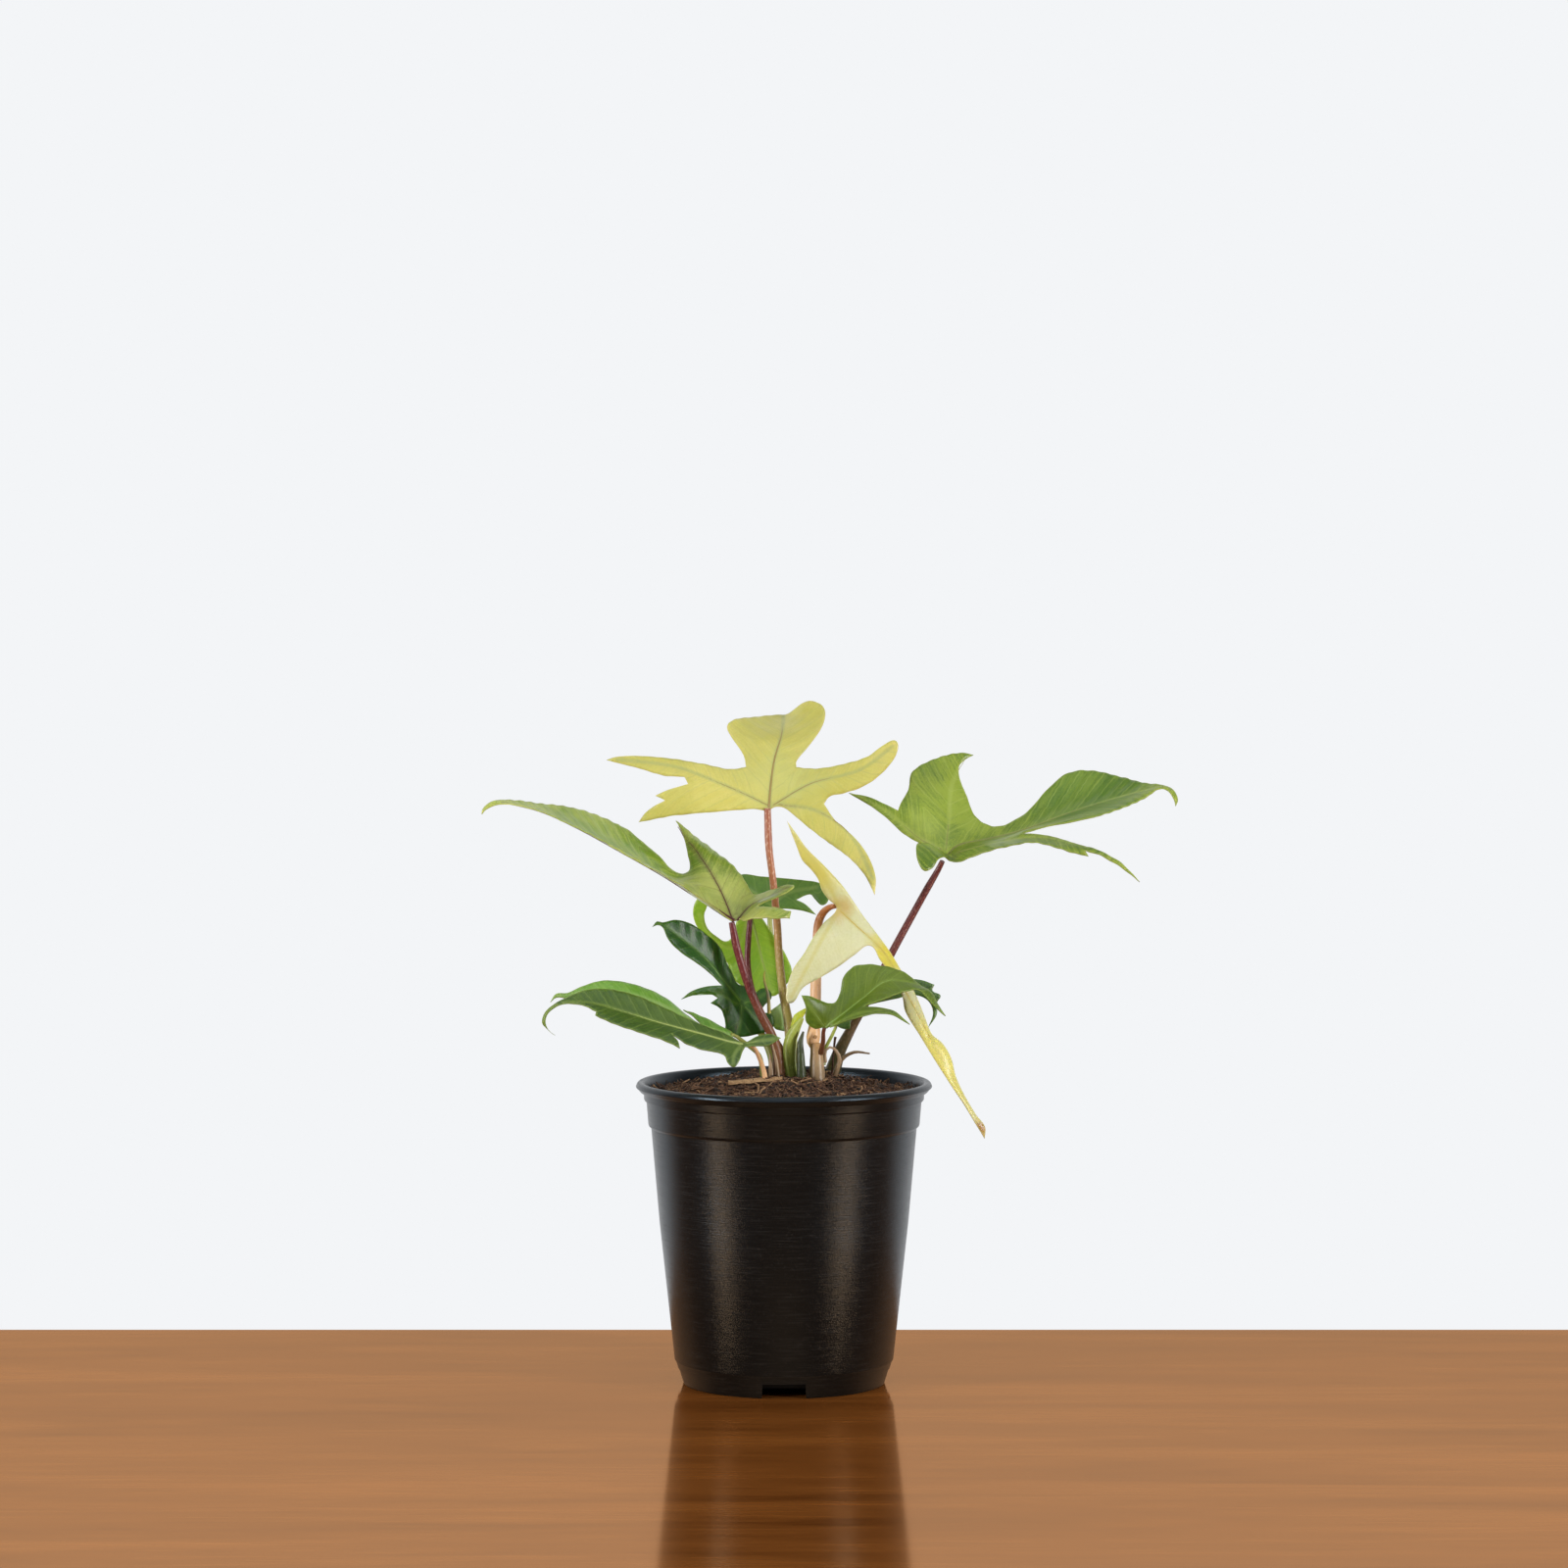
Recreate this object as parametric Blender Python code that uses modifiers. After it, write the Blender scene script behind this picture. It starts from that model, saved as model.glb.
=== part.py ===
"""Potted philodendron: a young lobed-leaf climber in a plastic nursery pot.

Units: the tables below are in millimetres, the model is in metres, +Z up.
The origin is the centre of the pot's base, on the surface that it stands on.
"""
import math

import bmesh
import bpy
import numpy as np
from mathutils import Matrix, Vector
from mathutils.geometry import delaunay_2d_cdt

MM = 0.001
GAP = 0.35
MIX_GAP = 0.6

# Driving dimensions of the pot
POT_HEIGHT = 112.0
LIP_RADIUS = 55.0
COLLAR_RADIUS = 51.0
COLLAR_HEIGHT = 95.0
BODY_TOP_RADIUS = 49.2
BODY_FOOT_RADIUS = 40.6
FOOT_RADIUS = 37.8
FOOT_HEIGHT = 8.3
WALL = 1.3
FLOOR_DISC_RADIUS = 24.0
SLOT_WIDTH = 15.5
SLOT_HEIGHT = 5.5

# Driving dimensions of the planting
MIX_EDGE_HEIGHT = 108.2
MIX_CROWN_HEIGHT = 114.2
BLADE_THICKNESS = 0.6
BLADE_CELL = 4.2
EDGE_STEP = 3.6

# The plant is drawn as it is seen from this place: x and height on the upright plane
# through the pot's axis, with a third number for how far behind that plane a point lies.
EYE = Vector((0.0, -1689.5, 297.0))
TIP = True


def place(x, z, y):
    """The point at depth y that is seen at (x, z) on the upright plane through the axis."""
    reach = (y - EYE.y) / (0.0 - EYE.y)
    return EYE + (Vector((x, 0.0, z)) - EYE) * reach


def clear_scene():
    for item in list(bpy.data.objects):
        bpy.data.objects.remove(item, do_unlink=True)


def new_collection(name):
    made = bpy.data.collections.new(name)
    bpy.context.scene.collection.children.link(made)
    return made


clear_scene()
PARTS = new_collection("potted_philodendron")
CUTTERS = new_collection("cutters")


def plain_material(name, colour, roughness):
    made = bpy.data.materials.new(name)
    made.use_nodes = True
    shader = made.node_tree.nodes["Principled BSDF"]
    shader.inputs["Base Color"].default_value = (*colour, 1.0)
    shader.inputs["Roughness"].default_value = roughness
    shader.inputs["Metallic"].default_value = 0.0
    return made


def add_object(name, data, colour, roughness=0.5, home=PARTS):
    made = bpy.data.objects.new(name, data)
    home.objects.link(made)
    data.materials.append(plain_material(name + "_finish", colour, roughness))
    return made


def mesh_from(bm, name):
    data = bpy.data.meshes.new(name)
    bm.to_mesh(data)
    bm.free()
    return data


def hide_cutter(cutter):
    cutter.hide_render = True
    cutter.display_type = "WIRE"


def cut_with(target, cutter):
    cut = target.modifiers.new("cut", "BOOLEAN")
    cut.operation = "DIFFERENCE"
    cut.solver = "EXACT"
    cut.object = cutter


# ---------------------------------------------------------------- pot and mix

def turned(name, profile, colour, roughness, steps=56, home=PARTS):
    """A solid of revolution from a profile that ends on the axis at both ends."""
    bm = bmesh.new()
    spots = [bm.verts.new((r * MM, 0.0, z * MM)) for r, z in profile]
    for low, high in zip(spots, spots[1:]):
        bm.edges.new((low, high))
    made = add_object(name, mesh_from(bm, name), colour, roughness, home)
    screw = made.modifiers.new("turn", "SCREW")
    screw.steps = steps
    screw.render_steps = steps
    screw.use_merge_vertices = True
    screw.merge_threshold = 0.00001
    return made


def box_cutter(name, low, high):
    bm = bmesh.new()
    bmesh.ops.create_cube(bm, size=1.0)
    size = [(b - a) * MM for a, b in zip(low, high)]
    middle = [(a + b) / 2 * MM for a, b in zip(low, high)]
    bmesh.ops.scale(bm, vec=size, verts=bm.verts)
    bmesh.ops.translate(bm, vec=middle, verts=bm.verts)
    made = add_object(name, mesh_from(bm, name), (0.5, 0.5, 0.5), home=CUTTERS)
    hide_cutter(made)
    return made


def nursery_pot():
    """One moulding: rolled lip, stepped collar, tapered wall, foot with four drain slots."""
    lip = []
    for turn in range(7):
        angle = math.pi * (1.0 - turn / 6)
        lip.append((LIP_RADIUS - 1.7 + 1.7 * math.cos(angle), POT_HEIGHT - 1.6 + 1.6 * math.sin(angle)))
    inner_top = COLLAR_RADIUS + 0.9 - WALL
    profile = [(0.0, 2.0), (FLOOR_DISC_RADIUS - 1.2, 2.0), (FLOOR_DISC_RADIUS + 1.5, 4.4),
               (33.0, 4.4), (BODY_FOOT_RADIUS - WALL, FOOT_HEIGHT + 0.8),
               (BODY_TOP_RADIUS - WALL, COLLAR_HEIGHT), (COLLAR_RADIUS - WALL, COLLAR_HEIGHT + 2.0),
               (inner_top, 105.6), (inner_top + 0.6, POT_HEIGHT - 2.6)]
    profile += lip
    profile += [(LIP_RADIUS - 0.1, 109.6), (LIP_RADIUS - 1.0, 108.6), (52.1, 108.4), (51.9, 105.4),
                (COLLAR_RADIUS, 105.0), (50.2, COLLAR_HEIGHT + 0.9), (BODY_TOP_RADIUS, COLLAR_HEIGHT - 0.6),
                (BODY_FOOT_RADIUS, FOOT_HEIGHT), (FOOT_RADIUS + 2.2, FOOT_HEIGHT - 0.7),
                (FOOT_RADIUS, 0.0), (FOOT_RADIUS - 4.8, 0.0), (FOOT_RADIUS - 6.0, 2.4),
                (FLOOR_DISC_RADIUS + 1.6, 2.4), (FLOOR_DISC_RADIUS, 0.0), (0.0, 0.0)]
    pot = turned("nursery_pot", profile, (0.012, 0.012, 0.013), 0.42)
    half = SLOT_WIDTH / 2
    inner, outer = 29.0, 46.0
    cut_with(pot, box_cutter("slot_front_back", (-half, -outer, -2.0), (half, -inner, SLOT_HEIGHT)))
    cut_with(pot, box_cutter("slot_rear", (-half, inner, -2.0), (half, outer, SLOT_HEIGHT)))
    cut_with(pot, box_cutter("slot_left", (-outer, -half, -2.0), (-inner, half, SLOT_HEIGHT)))
    cut_with(pot, box_cutter("slot_right", (inner, -half, -2.0), (outer, half, SLOT_HEIGHT)))


def mix_height(radius):
    """The mix is mounded towards the crowns and falls to the wall."""
    share = min(radius / 50.0, 1.0)
    return MIX_EDGE_HEIGHT + (MIX_CROWN_HEIGHT - MIX_EDGE_HEIGHT) * (0.5 + 0.5 * math.cos(math.pi * share))


def potting_mix():
    """The root ball: it fills the pot to just under the lip."""
    rings = [50.0 - 6.25 * ring for ring in range(9)]
    top = [(max(radius, 0.0), mix_height(radius)) for radius in rings]
    low = BODY_FOOT_RADIUS - WALL - MIX_GAP
    high = BODY_TOP_RADIUS - WALL - MIX_GAP
    profile = list(reversed(top))
    profile += [(COLLAR_RADIUS + 0.9 - WALL - MIX_GAP, 105.6), (COLLAR_RADIUS - WALL - MIX_GAP, COLLAR_HEIGHT + 2.3),
                (high, COLLAR_HEIGHT - 0.2), (low, FOOT_HEIGHT + 1.4), (32.6, 4.9), (FLOOR_DISC_RADIUS + 1.0, 4.9),
                (FLOOR_DISC_RADIUS - 1.6, 2.5), (0.0, 2.5)]
    return turned("potting_mix", profile, (0.055, 0.030, 0.018), 0.95, steps=36)


# ---------------------------------------------------------------- curves

def smooth_path(points, step, closed=False):
    """Points along a curve through the given ones, which turns sharply only at tips."""
    spots = [place(*point[:3]) for point in points]
    sharp = [len(point) > 3 for point in points]
    count = len(spots)
    path = []
    for i in range(count if closed else count - 1):
        here, there = spots[i], spots[(i + 1) % count]
        span = (there - here).length
        start = there - here
        end = there - here
        if not sharp[i] and (closed or i > 0):
            start = (there - spots[i - 1]).normalized() * span
        if not sharp[(i + 1) % count] and (closed or i < count - 2):
            end = (spots[(i + 2) % count] - here).normalized() * span
        pieces = max(1, round(span / step))
        for part in range(pieces):
            t = part / pieces
            path.append(here * (2 * t**3 - 3 * t**2 + 1) + start * (t**3 - 2 * t**2 + t)
                        + there * (3 * t**2 - 2 * t**3) + end * (t**3 - t**2))
    if not closed:
        path.append(spots[-1])
    return path


def tube(name, colour, points, radii, step=6.0, roughness=0.45):
    """A stalk, stem or twig: a round tube whose radius goes evenly through the given radii."""
    path = smooth_path(points, step)
    data = bpy.data.curves.new(name, "CURVE")
    data.dimensions = "3D"
    data.bevel_depth = MM
    data.bevel_resolution = 2
    data.use_fill_caps = True
    line = data.splines.new("POLY")
    line.points.add(len(path) - 1)
    for i, spot in enumerate(path):
        line.points[i].co = (*(spot * MM), 1.0)
        where = i / (len(path) - 1) * (len(radii) - 1)
        low = min(int(where), len(radii) - 2)
        line.points[i].radius = radii[low] + (radii[low + 1] - radii[low]) * (where - low)
    return add_object(name, data, colour, roughness)


# ---------------------------------------------------------------- blades

def blade_surface(anchors):
    """The best plane through the anchors, and a smooth sheet over it that passes through them all."""
    cloud = np.array([tuple(spot) for spot in anchors])
    middle = cloud.mean(axis=0)
    axes = np.linalg.eigh(np.cov((cloud - middle).T))[1]
    across, along, normal = axes[:, 1], axes[:, 2], axes[:, 0]
    flat = np.c_[(cloud - middle) @ across, (cloud - middle) @ along]
    height = (cloud - middle) @ normal

    def bend(a, b):
        gap = np.linalg.norm(a[:, None, :] - b[None, :, :], axis=2)
        return gap**2 * np.log(gap + 1e-6)

    count = len(flat)
    tilt = np.c_[np.ones(count), flat]
    system = np.zeros((count + 3, count + 3))
    system[:count, :count] = bend(flat, flat) + np.eye(count) * 4.0
    system[:count, count:] = tilt
    system[count:, :count] = tilt.T
    weights = np.linalg.solve(system, np.r_[height, np.zeros(3)])

    def lift(spots):
        spots = np.asarray(spots)
        rise = bend(spots, flat) @ weights[:count] + np.c_[np.ones(len(spots)), spots] @ weights[count:]
        return middle + spots[:, :1] * across + spots[:, 1:] * along + rise[:, None] * normal

    return lift, flat


def blade(name, colour, outline, veins, thickness=BLADE_THICKNESS, roughness=0.4):
    """A leaf blade: its outline in space filled with a sheet that bends along its veins."""
    loop = smooth_path(outline, EDGE_STEP, closed=True)
    ribs = [spot for vein in veins for spot in smooth_path(vein, EDGE_STEP)]
    lift, flat = blade_surface(loop + ribs)
    edge = [Vector(spot) for spot in flat[:len(loop)]]
    low = flat[:len(loop)].min(axis=0)
    high = flat[:len(loop)].max(axis=0)
    inside = []
    rows = int((high[1] - low[1]) / (BLADE_CELL * 0.87)) + 1
    columns = int((high[0] - low[0]) / BLADE_CELL) + 1
    for row in range(rows):
        for column in range(columns):
            spot = Vector((low[0] + (column + 0.5 * (row % 2)) * BLADE_CELL, low[1] + row * BLADE_CELL * 0.87))
            if min((spot - corner).length for corner in edge) > BLADE_CELL * 0.6:
                inside.append(spot)
    border = [(i, (i + 1) % len(edge)) for i in range(len(edge))]
    spots, _, faces, _, _, _ = delaunay_2d_cdt(edge + inside, border, [list(range(len(edge)))], 1, 1e-5)
    bm = bmesh.new()
    corners = [bm.verts.new(Vector(spot) * MM) for spot in lift([tuple(spot) for spot in spots])]
    for face in faces:
        bm.faces.new([corners[i] for i in face])
    loose = [vert for vert in bm.verts if not vert.link_faces]
    bmesh.ops.delete(bm, geom=loose, context="VERTS")
    made = add_object(name, mesh_from(bm, name), colour, roughness)
    wall = made.modifiers.new("wall", "SOLIDIFY")
    wall.thickness = thickness * MM
    wall.offset = 0.0
    return made


# ---------------------------------------------------------------- leaf stalks and blades

def top_leaf():
    """The pale top leaf: its lobes spread towards the viewer's plane and its middle lobe leans back."""
    tube("top_leaf_stalk", (0.42, 0.17, 0.08),
         [(-6.2, 211.0, 4), (-5.5, 198, 3), (-3.9, 185, 3), (-2.5, 170, 4), (-1.8, 158, 4),
          (-0.2, 144, 4), (1.8, 133, 3), (3.4, 122.6, 2)], [1.4, 1.35, 1.35, 1.6])
    blade("top_leaf_blade", (0.62, 0.60, 0.22), [
        (-5.8, 212.4, 5), (-12, 213, 4), (-22, 212.2, 4), (-32, 211.4, 3), (-42, 210.3, 2), (-53.8, 208, 0, TIP),
        (-51, 211.8, 1), (-44, 216.2, 2, TIP), (-47.6, 217.9, 2, TIP), (-43, 220, 3), (-35.5, 222.2, 5, TIP),
        (-36.8, 225, 5, TIP), (-44, 225.4, 5), (-54, 228.2, 6), (-65.6, 231, 7, TIP), (-62, 232.4, 7),
        (-52, 232.5, 8), (-40, 231.4, 9), (-30, 229.6, 10), (-20, 227.6, 11), (-14, 228.3, 12, TIP),
        (-15, 233, 16), (-19.5, 239.8, 22), (-21, 243.6, 25), (-18.5, 246, 28), (-10, 247, 36),
        (-3, 247.8, 40), (1.5, 248, 40), (6.5, 252, 35), (11.5, 252.8, 31), (15, 249.8, 28), (14, 243.5, 22),
        (9, 236.2, 17), (4.6, 230.8, 13), (4.6, 228.4, 12, TIP), (12, 227.8, 10), (22, 229.5, 8),
        (31, 232.4, 6), (37, 236.8, 4), (41.4, 238.2, 3), (41.6, 233.5, 2), (37, 227, 2), (30, 221.8, 2),
        (23, 219, 3), (17, 217.6, 4), (14.8, 214.8, 4, TIP), (19, 208.5, 2), (26, 202.3, -1), (31, 195.8, -4),
        (33.9, 188, -7), (33.6, 181, -9, TIP), (30, 188.5, -7), (24, 195, -4), (15, 201.5, 0), (6, 208.6, 3),
        (0, 213.4, 5), (-3.4, 213.9, 5)],
        [[(-5.6, 213.5, 5.4), (-5, 221, 8), (-3.6, 231, 13), (-1, 240, 21), (0, 247.6, 40)],
         [(-6, 214.5, 5.4), (-20, 221, 6), (-40, 228.6, 7), (-62, 231.4, 7)],
         [(-4, 214.5, 5.4), (10, 222.5, 6), (28, 227.5, 5), (40, 236, 3)],
         [(-2, 214.8, 5.4), (12, 212.4, 3), (24, 204.5, -1), (33, 187, -7)]])


def left_leaf():
    """The large left leaf: folded along its middle rib, the far half raised, the near half level."""
    tube("left_leaf_stalk", (0.20, 0.05, 0.05),
         [(-18.9, 169.6, -12), (-17.6, 162, -11), (-15, 153, -10), (-12, 144.5, -9), (-8.4, 136.5, -8),
          (-4.8, 129.5, -7), (-2.6, 123.4, -6)], [1.6, 1.6, 1.7, 1.8])
    blade("left_leaf_blade", (0.36, 0.44, 0.12), [
        (-18, 171.2, -12), (-13.5, 171.9, -16), (-8, 172.3, -20), (-3, 172.3, -25), (2, 172.4, -29, TIP),
        (2.6, 175.1, -26.5, TIP), (-2, 176.2, -21), (-6, 176.7, -17), (-10, 177, -13.5, TIP), (-5, 179.2, -14),
        (0, 181.6, -14), (3.8, 184.4, -12.5), (1.5, 185.2, -9.5), (-4, 183, -5), (-11.6, 181, -2, TIP),
        (-13, 184.2, -1), (-17, 190, 3), (-23, 195.2, 8), (-31, 201.4, 14.5), (-40, 208.6, 19, TIP),
        (-37.6, 203, 14), (-35.6, 196, 8), (-34.9, 190.4, 4.4), (-37.4, 188.6, 3.8), (-42, 191, 4.6),
        (-47, 196, 6.5), (-52.5, 201.2, 8), (-59, 206, 9), (-68, 210.2, 8.5), (-80, 213.6, 5), (-92, 215.1, 0),
        (-103, 216.3, -5), (-108.5, 215.5, -7), (-111.3, 213, -8), (-112.2, 210, -9, TIP), (-110.2, 213, -9),
        (-107, 214.4, -9.5), (-101, 214.9, -11.5), (-90, 212.1, -17), (-80, 207.7, -21), (-70, 202.7, -23),
        (-60, 197.3, -22), (-50, 191.8, -19), (-45, 188.9, -17.5, TIP), (-53, 193.2, -33), (-65, 199.7, -47, TIP),
        (-57, 195.3, -47), (-47, 189.8, -42), (-38, 184.8, -36), (-30, 179.1, -28), (-24, 174.9, -20)],
        [[(-18.6, 171.4, -12), (-31, 179.8, -12), (-45, 188.8, -12), (-60, 197.2, -12), (-75, 205.4, -11.5),
          (-90, 212.2, -10.5), (-104, 215.4, -8.5)],
         [(-19, 172.6, -12), (-24, 184, -4), (-31, 196, 6), (-39, 207, 16)],
         [(-17, 172.6, -12.5), (-11.4, 177.8, -9), (-3, 181.6, -9.6), (2, 184.2, -11)]])


def right_leaf():
    """The large right leaf: the far half stands up, the near half folds down over the stalk."""
    tube("right_leaf_stalk", (0.17, 0.05, 0.04),
         [(57.2, 190.8, 6), (53, 183.5, 6), (47.2, 173, 6), (41.2, 162, 5), (35.2, 150.5, 5), (29.4, 139.5, 5),
          (23.6, 129, 5), (20.2, 122.4, 4.8), (18.4, 119.6, 4)], [1.5, 1.5, 1.6, 1.8])
    blade("right_leaf_blade", (0.24, 0.38, 0.07), [
        (59.4, 194.4, 4), (56, 197.4, 5), (51, 199.4, 7), (44, 204, 9), (38, 209.6, 11), (31, 215, 13),
        (24, 218.9, 16, TIP), (31, 217.6, 15), (37, 215, 13), (42.2, 212.6, 11, TIP), (44, 216.6, 13),
        (46, 220, 16), (47, 226, 20), (50, 228.8, 22), (57, 231.8, 25), (65, 233.7, 27), (70, 233, 28, TIP),
        (65.4, 229.4, 25), (64.7, 225, 22), (67.4, 218, 17), (71, 210, 12), (77.8, 206.3, 9.5), (85, 208.7, 11),
        (92, 214, 15), (98, 220.8, 19), (104.5, 226, 22), (113, 227.3, 21), (124, 225, 16), (134, 222.5, 9),
        (140.5, 221.6, 4), (144, 219.8, 2), (145.6, 216.6, 0), (144.9, 213.8, -1, TIP), (144.3, 216.6, -1),
        (142.4, 219.4, 0), (139.5, 220.7, 1), (134, 217.4, -3), (127, 214, -7), (118, 211, -11), (108, 208.6, -13),
        (98, 206.4, -13), (88, 203.9, -12.5, TIP), (98, 203.3, -18), (108, 200.4, -23), (117, 197.2, -27),
        (125, 192.8, -30), (131.6, 186, -33, TIP), (125, 191.2, -31), (117, 196, -29), (111.4, 198.2, -28, TIP),
        (112.8, 195, -28, TIP), (104, 197.6, -27), (93, 200.8, -24), (84, 199.6, -21), (74, 196.8, -17),
        (65, 193.7, -12), (61.3, 193.2, -6, TIP), (59.5, 195.8, -9.5, TIP), (57.4, 194.6, -13), (55, 191.2, -16),
        (52.2, 189.8, -17), (50, 192.6, -16.5), (48.9, 197, -14), (49.4, 200, -10), (54, 199.7, -4), (58, 197.5, 0)],
        [[(60.5, 196, 2), (64, 199.4, 2.5), (75, 201.8, 4), (86, 204.5, 5.5), (95, 207.6, 6), (105, 211.4, 6),
          (118, 215.6, 6), (130, 219, 5), (139, 221.2, 3)],
         [(60, 198.6, 3), (61, 210, 10), (62, 222, 18), (67, 232.6, 26)],
         [(58, 199, 3), (50, 202.6, 7), (38, 212, 12), (26, 218.4, 15.6)],
         [(64, 197, -3), (78, 200.4, -11), (95, 202.4, -17), (112, 198.8, -25)]])


def cream_leaf():
    """The cream leaf: two side lobes hang from a bent hub, the long middle lobe is rolled."""
    tube("cream_leaf_stalk", (0.72, 0.36, 0.16),
         [(17.6, 176.6, -9), (14.8, 174.6, -6.5), (12.9, 170.4, -5), (12.2, 160, -4.5), (11.8, 148, -4.5),
          (11.6, 138, -5), (11.4, 132, -5)], [1.6, 1.9, 2.1])
    blade("cream_leaf_blade", (0.72, 0.68, 0.36), [
        (19.4, 176, -13), (16.4, 179.6, -14), (14, 183, -15), (12.6, 187, -16), (10, 190.6, -16.5),
        (6.8, 194, -17), (4.7, 199, -17.5), (1.1, 208.6, -18, TIP), (4.6, 203.8, -17.5), (8.4, 198.4, -17),
        (15, 191.8, -16), (22, 184, -14), (29, 173.8, -12.5), (35, 165.8, -12.5), (39.5, 159.6, -13.5),
        (42.6, 154.4, -15), (48.2, 145, -16.5), (51.8, 136.4, -18), (54.6, 129.4, -19), (58.6, 126, -19.5),
        (61.8, 120.6, -20), (63.6, 113.6, -20.5), (66.6, 107, -21), (71, 99.6, -21.5), (74.5, 95, -22),
        (74.4, 90.6, -22, TIP), (71.4, 95.6, -23), (67, 103, -23), (62, 110.4, -23), (56, 119.6, -22.5),
        (50.5, 128.6, -21.5), (45, 137.8, -20), (43.8, 143.4, -18.5), (40.2, 151, -17), (35.6, 157, -16),
        (32, 162.4, -16), (26, 158.8, -17.5), (20, 154.4, -19), (13, 150.2, -20.5), (7, 146.6, -21.5),
        (3.6, 141.4, -22), (1.2, 141.2, -22), (1, 146.4, -21.5), (3.4, 153.6, -20.5), (7.4, 159.4, -19),
        (11, 165.6, -17), (14.6, 170.6, -15)],
        [[(20.6, 175.4, -13.4), (27, 169.4, -14), (34, 163, -14.4), (38.6, 157.4, -15), (46, 143.6, -19),
          (53, 130.4, -21.6), (61, 116, -22.6), (72, 97, -22.6)],
         [(20.4, 176.8, -13.6), (16.5, 184.6, -16), (10.6, 194, -17.6), (3, 205, -18)],
         [(20, 174.6, -14), (15, 166.4, -17), (8.6, 154.4, -20.6), (2.6, 143, -22)]])


def back_leaves():
    """Two leaves that hang behind the middle: one dark, one bright green and lit from behind."""
    tube("middle_rear_stalk", (0.16, 0.18, 0.06),
         [(-5.6, 174.4, 25.6), (-4.2, 160, 24), (-1, 145, 19), (2.6, 132, 13), (3.8, 123.4, 6.4)], [1.1, 1.2, 1.4])
    blade("middle_rear_blade", (0.06, 0.13, 0.04), [
        (-20.5, 185.4, 32), (-15.6, 188.7, 31), (-9, 188, 30), (0, 187.3, 29), (8, 186.5, 27), (13.4, 185.4, 25),
        (16.4, 182, 23), (16, 178.4, 22), (13.8, 177.4, 22), (11.4, 179.6, 24), (9.6, 181.4, 25),
        (4.4, 179.4, 25, TIP), (8, 177.6, 24), (12, 173.7, 23, TIP), (7, 175.2, 24), (1, 176, 25),
        (-5, 175.8, 26.6), (-11, 175.6, 28), (-17, 179, 31)],
        [[(-5, 177.4, 26), (2, 182, 27), (12, 184, 25)], [(-6, 178, 26.6), (-12, 182.6, 29), (-18, 185.6, 31)]])
    tube("hanging_stalk", (0.22, 0.09, 0.05),
         [(-12.6, 172.4, 6.5), (-13.2, 165, 6), (-13.5, 156, 5.5), (-12.2, 147, 4.6), (-8.6, 136, 3.8),
          (-3.6, 127.5, 2), (-0.8, 123.2, 0)], [1.15, 1.2, 1.4])
    blade("hanging_blade", (0.34, 0.50, 0.10), [
        (-12.8, 174.2, 10), (-17, 172.4, 12), (-18.8, 166.4, 13), (-21.4, 163.8, 14), (-25, 165.6, 14),
        (-28.3, 168.6, 14), (-29.6, 173.4, 13), (-28.4, 177.6, 12), (-29.6, 181.6, 11, TIP), (-32.6, 179, 12),
        (-33.7, 174, 13), (-31.7, 168.6, 15), (-27, 161.8, 16), (-21.4, 156.6, 16), (-19.6, 152.2, 16),
        (-17.2, 148.5, 15), (-12.6, 146, 14), (-7.6, 144.6, 13), (-3.6, 143.6, 12), (0, 146.8, 12),
        (2.9, 151.8, 12), (1.4, 157.4, 12.4), (-2, 163.4, 12), (-5.6, 168.8, 11), (-9, 173.2, 10)],
        [[(-12.2, 172.8, 10.4), (-10, 165, 12.6), (-8, 156.6, 13.6), (-4.8, 145, 12.6)],
         [(-13.4, 172, 11), (-18, 162, 14.6), (-26, 164.4, 15), (-31.4, 174, 13)]])


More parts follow.
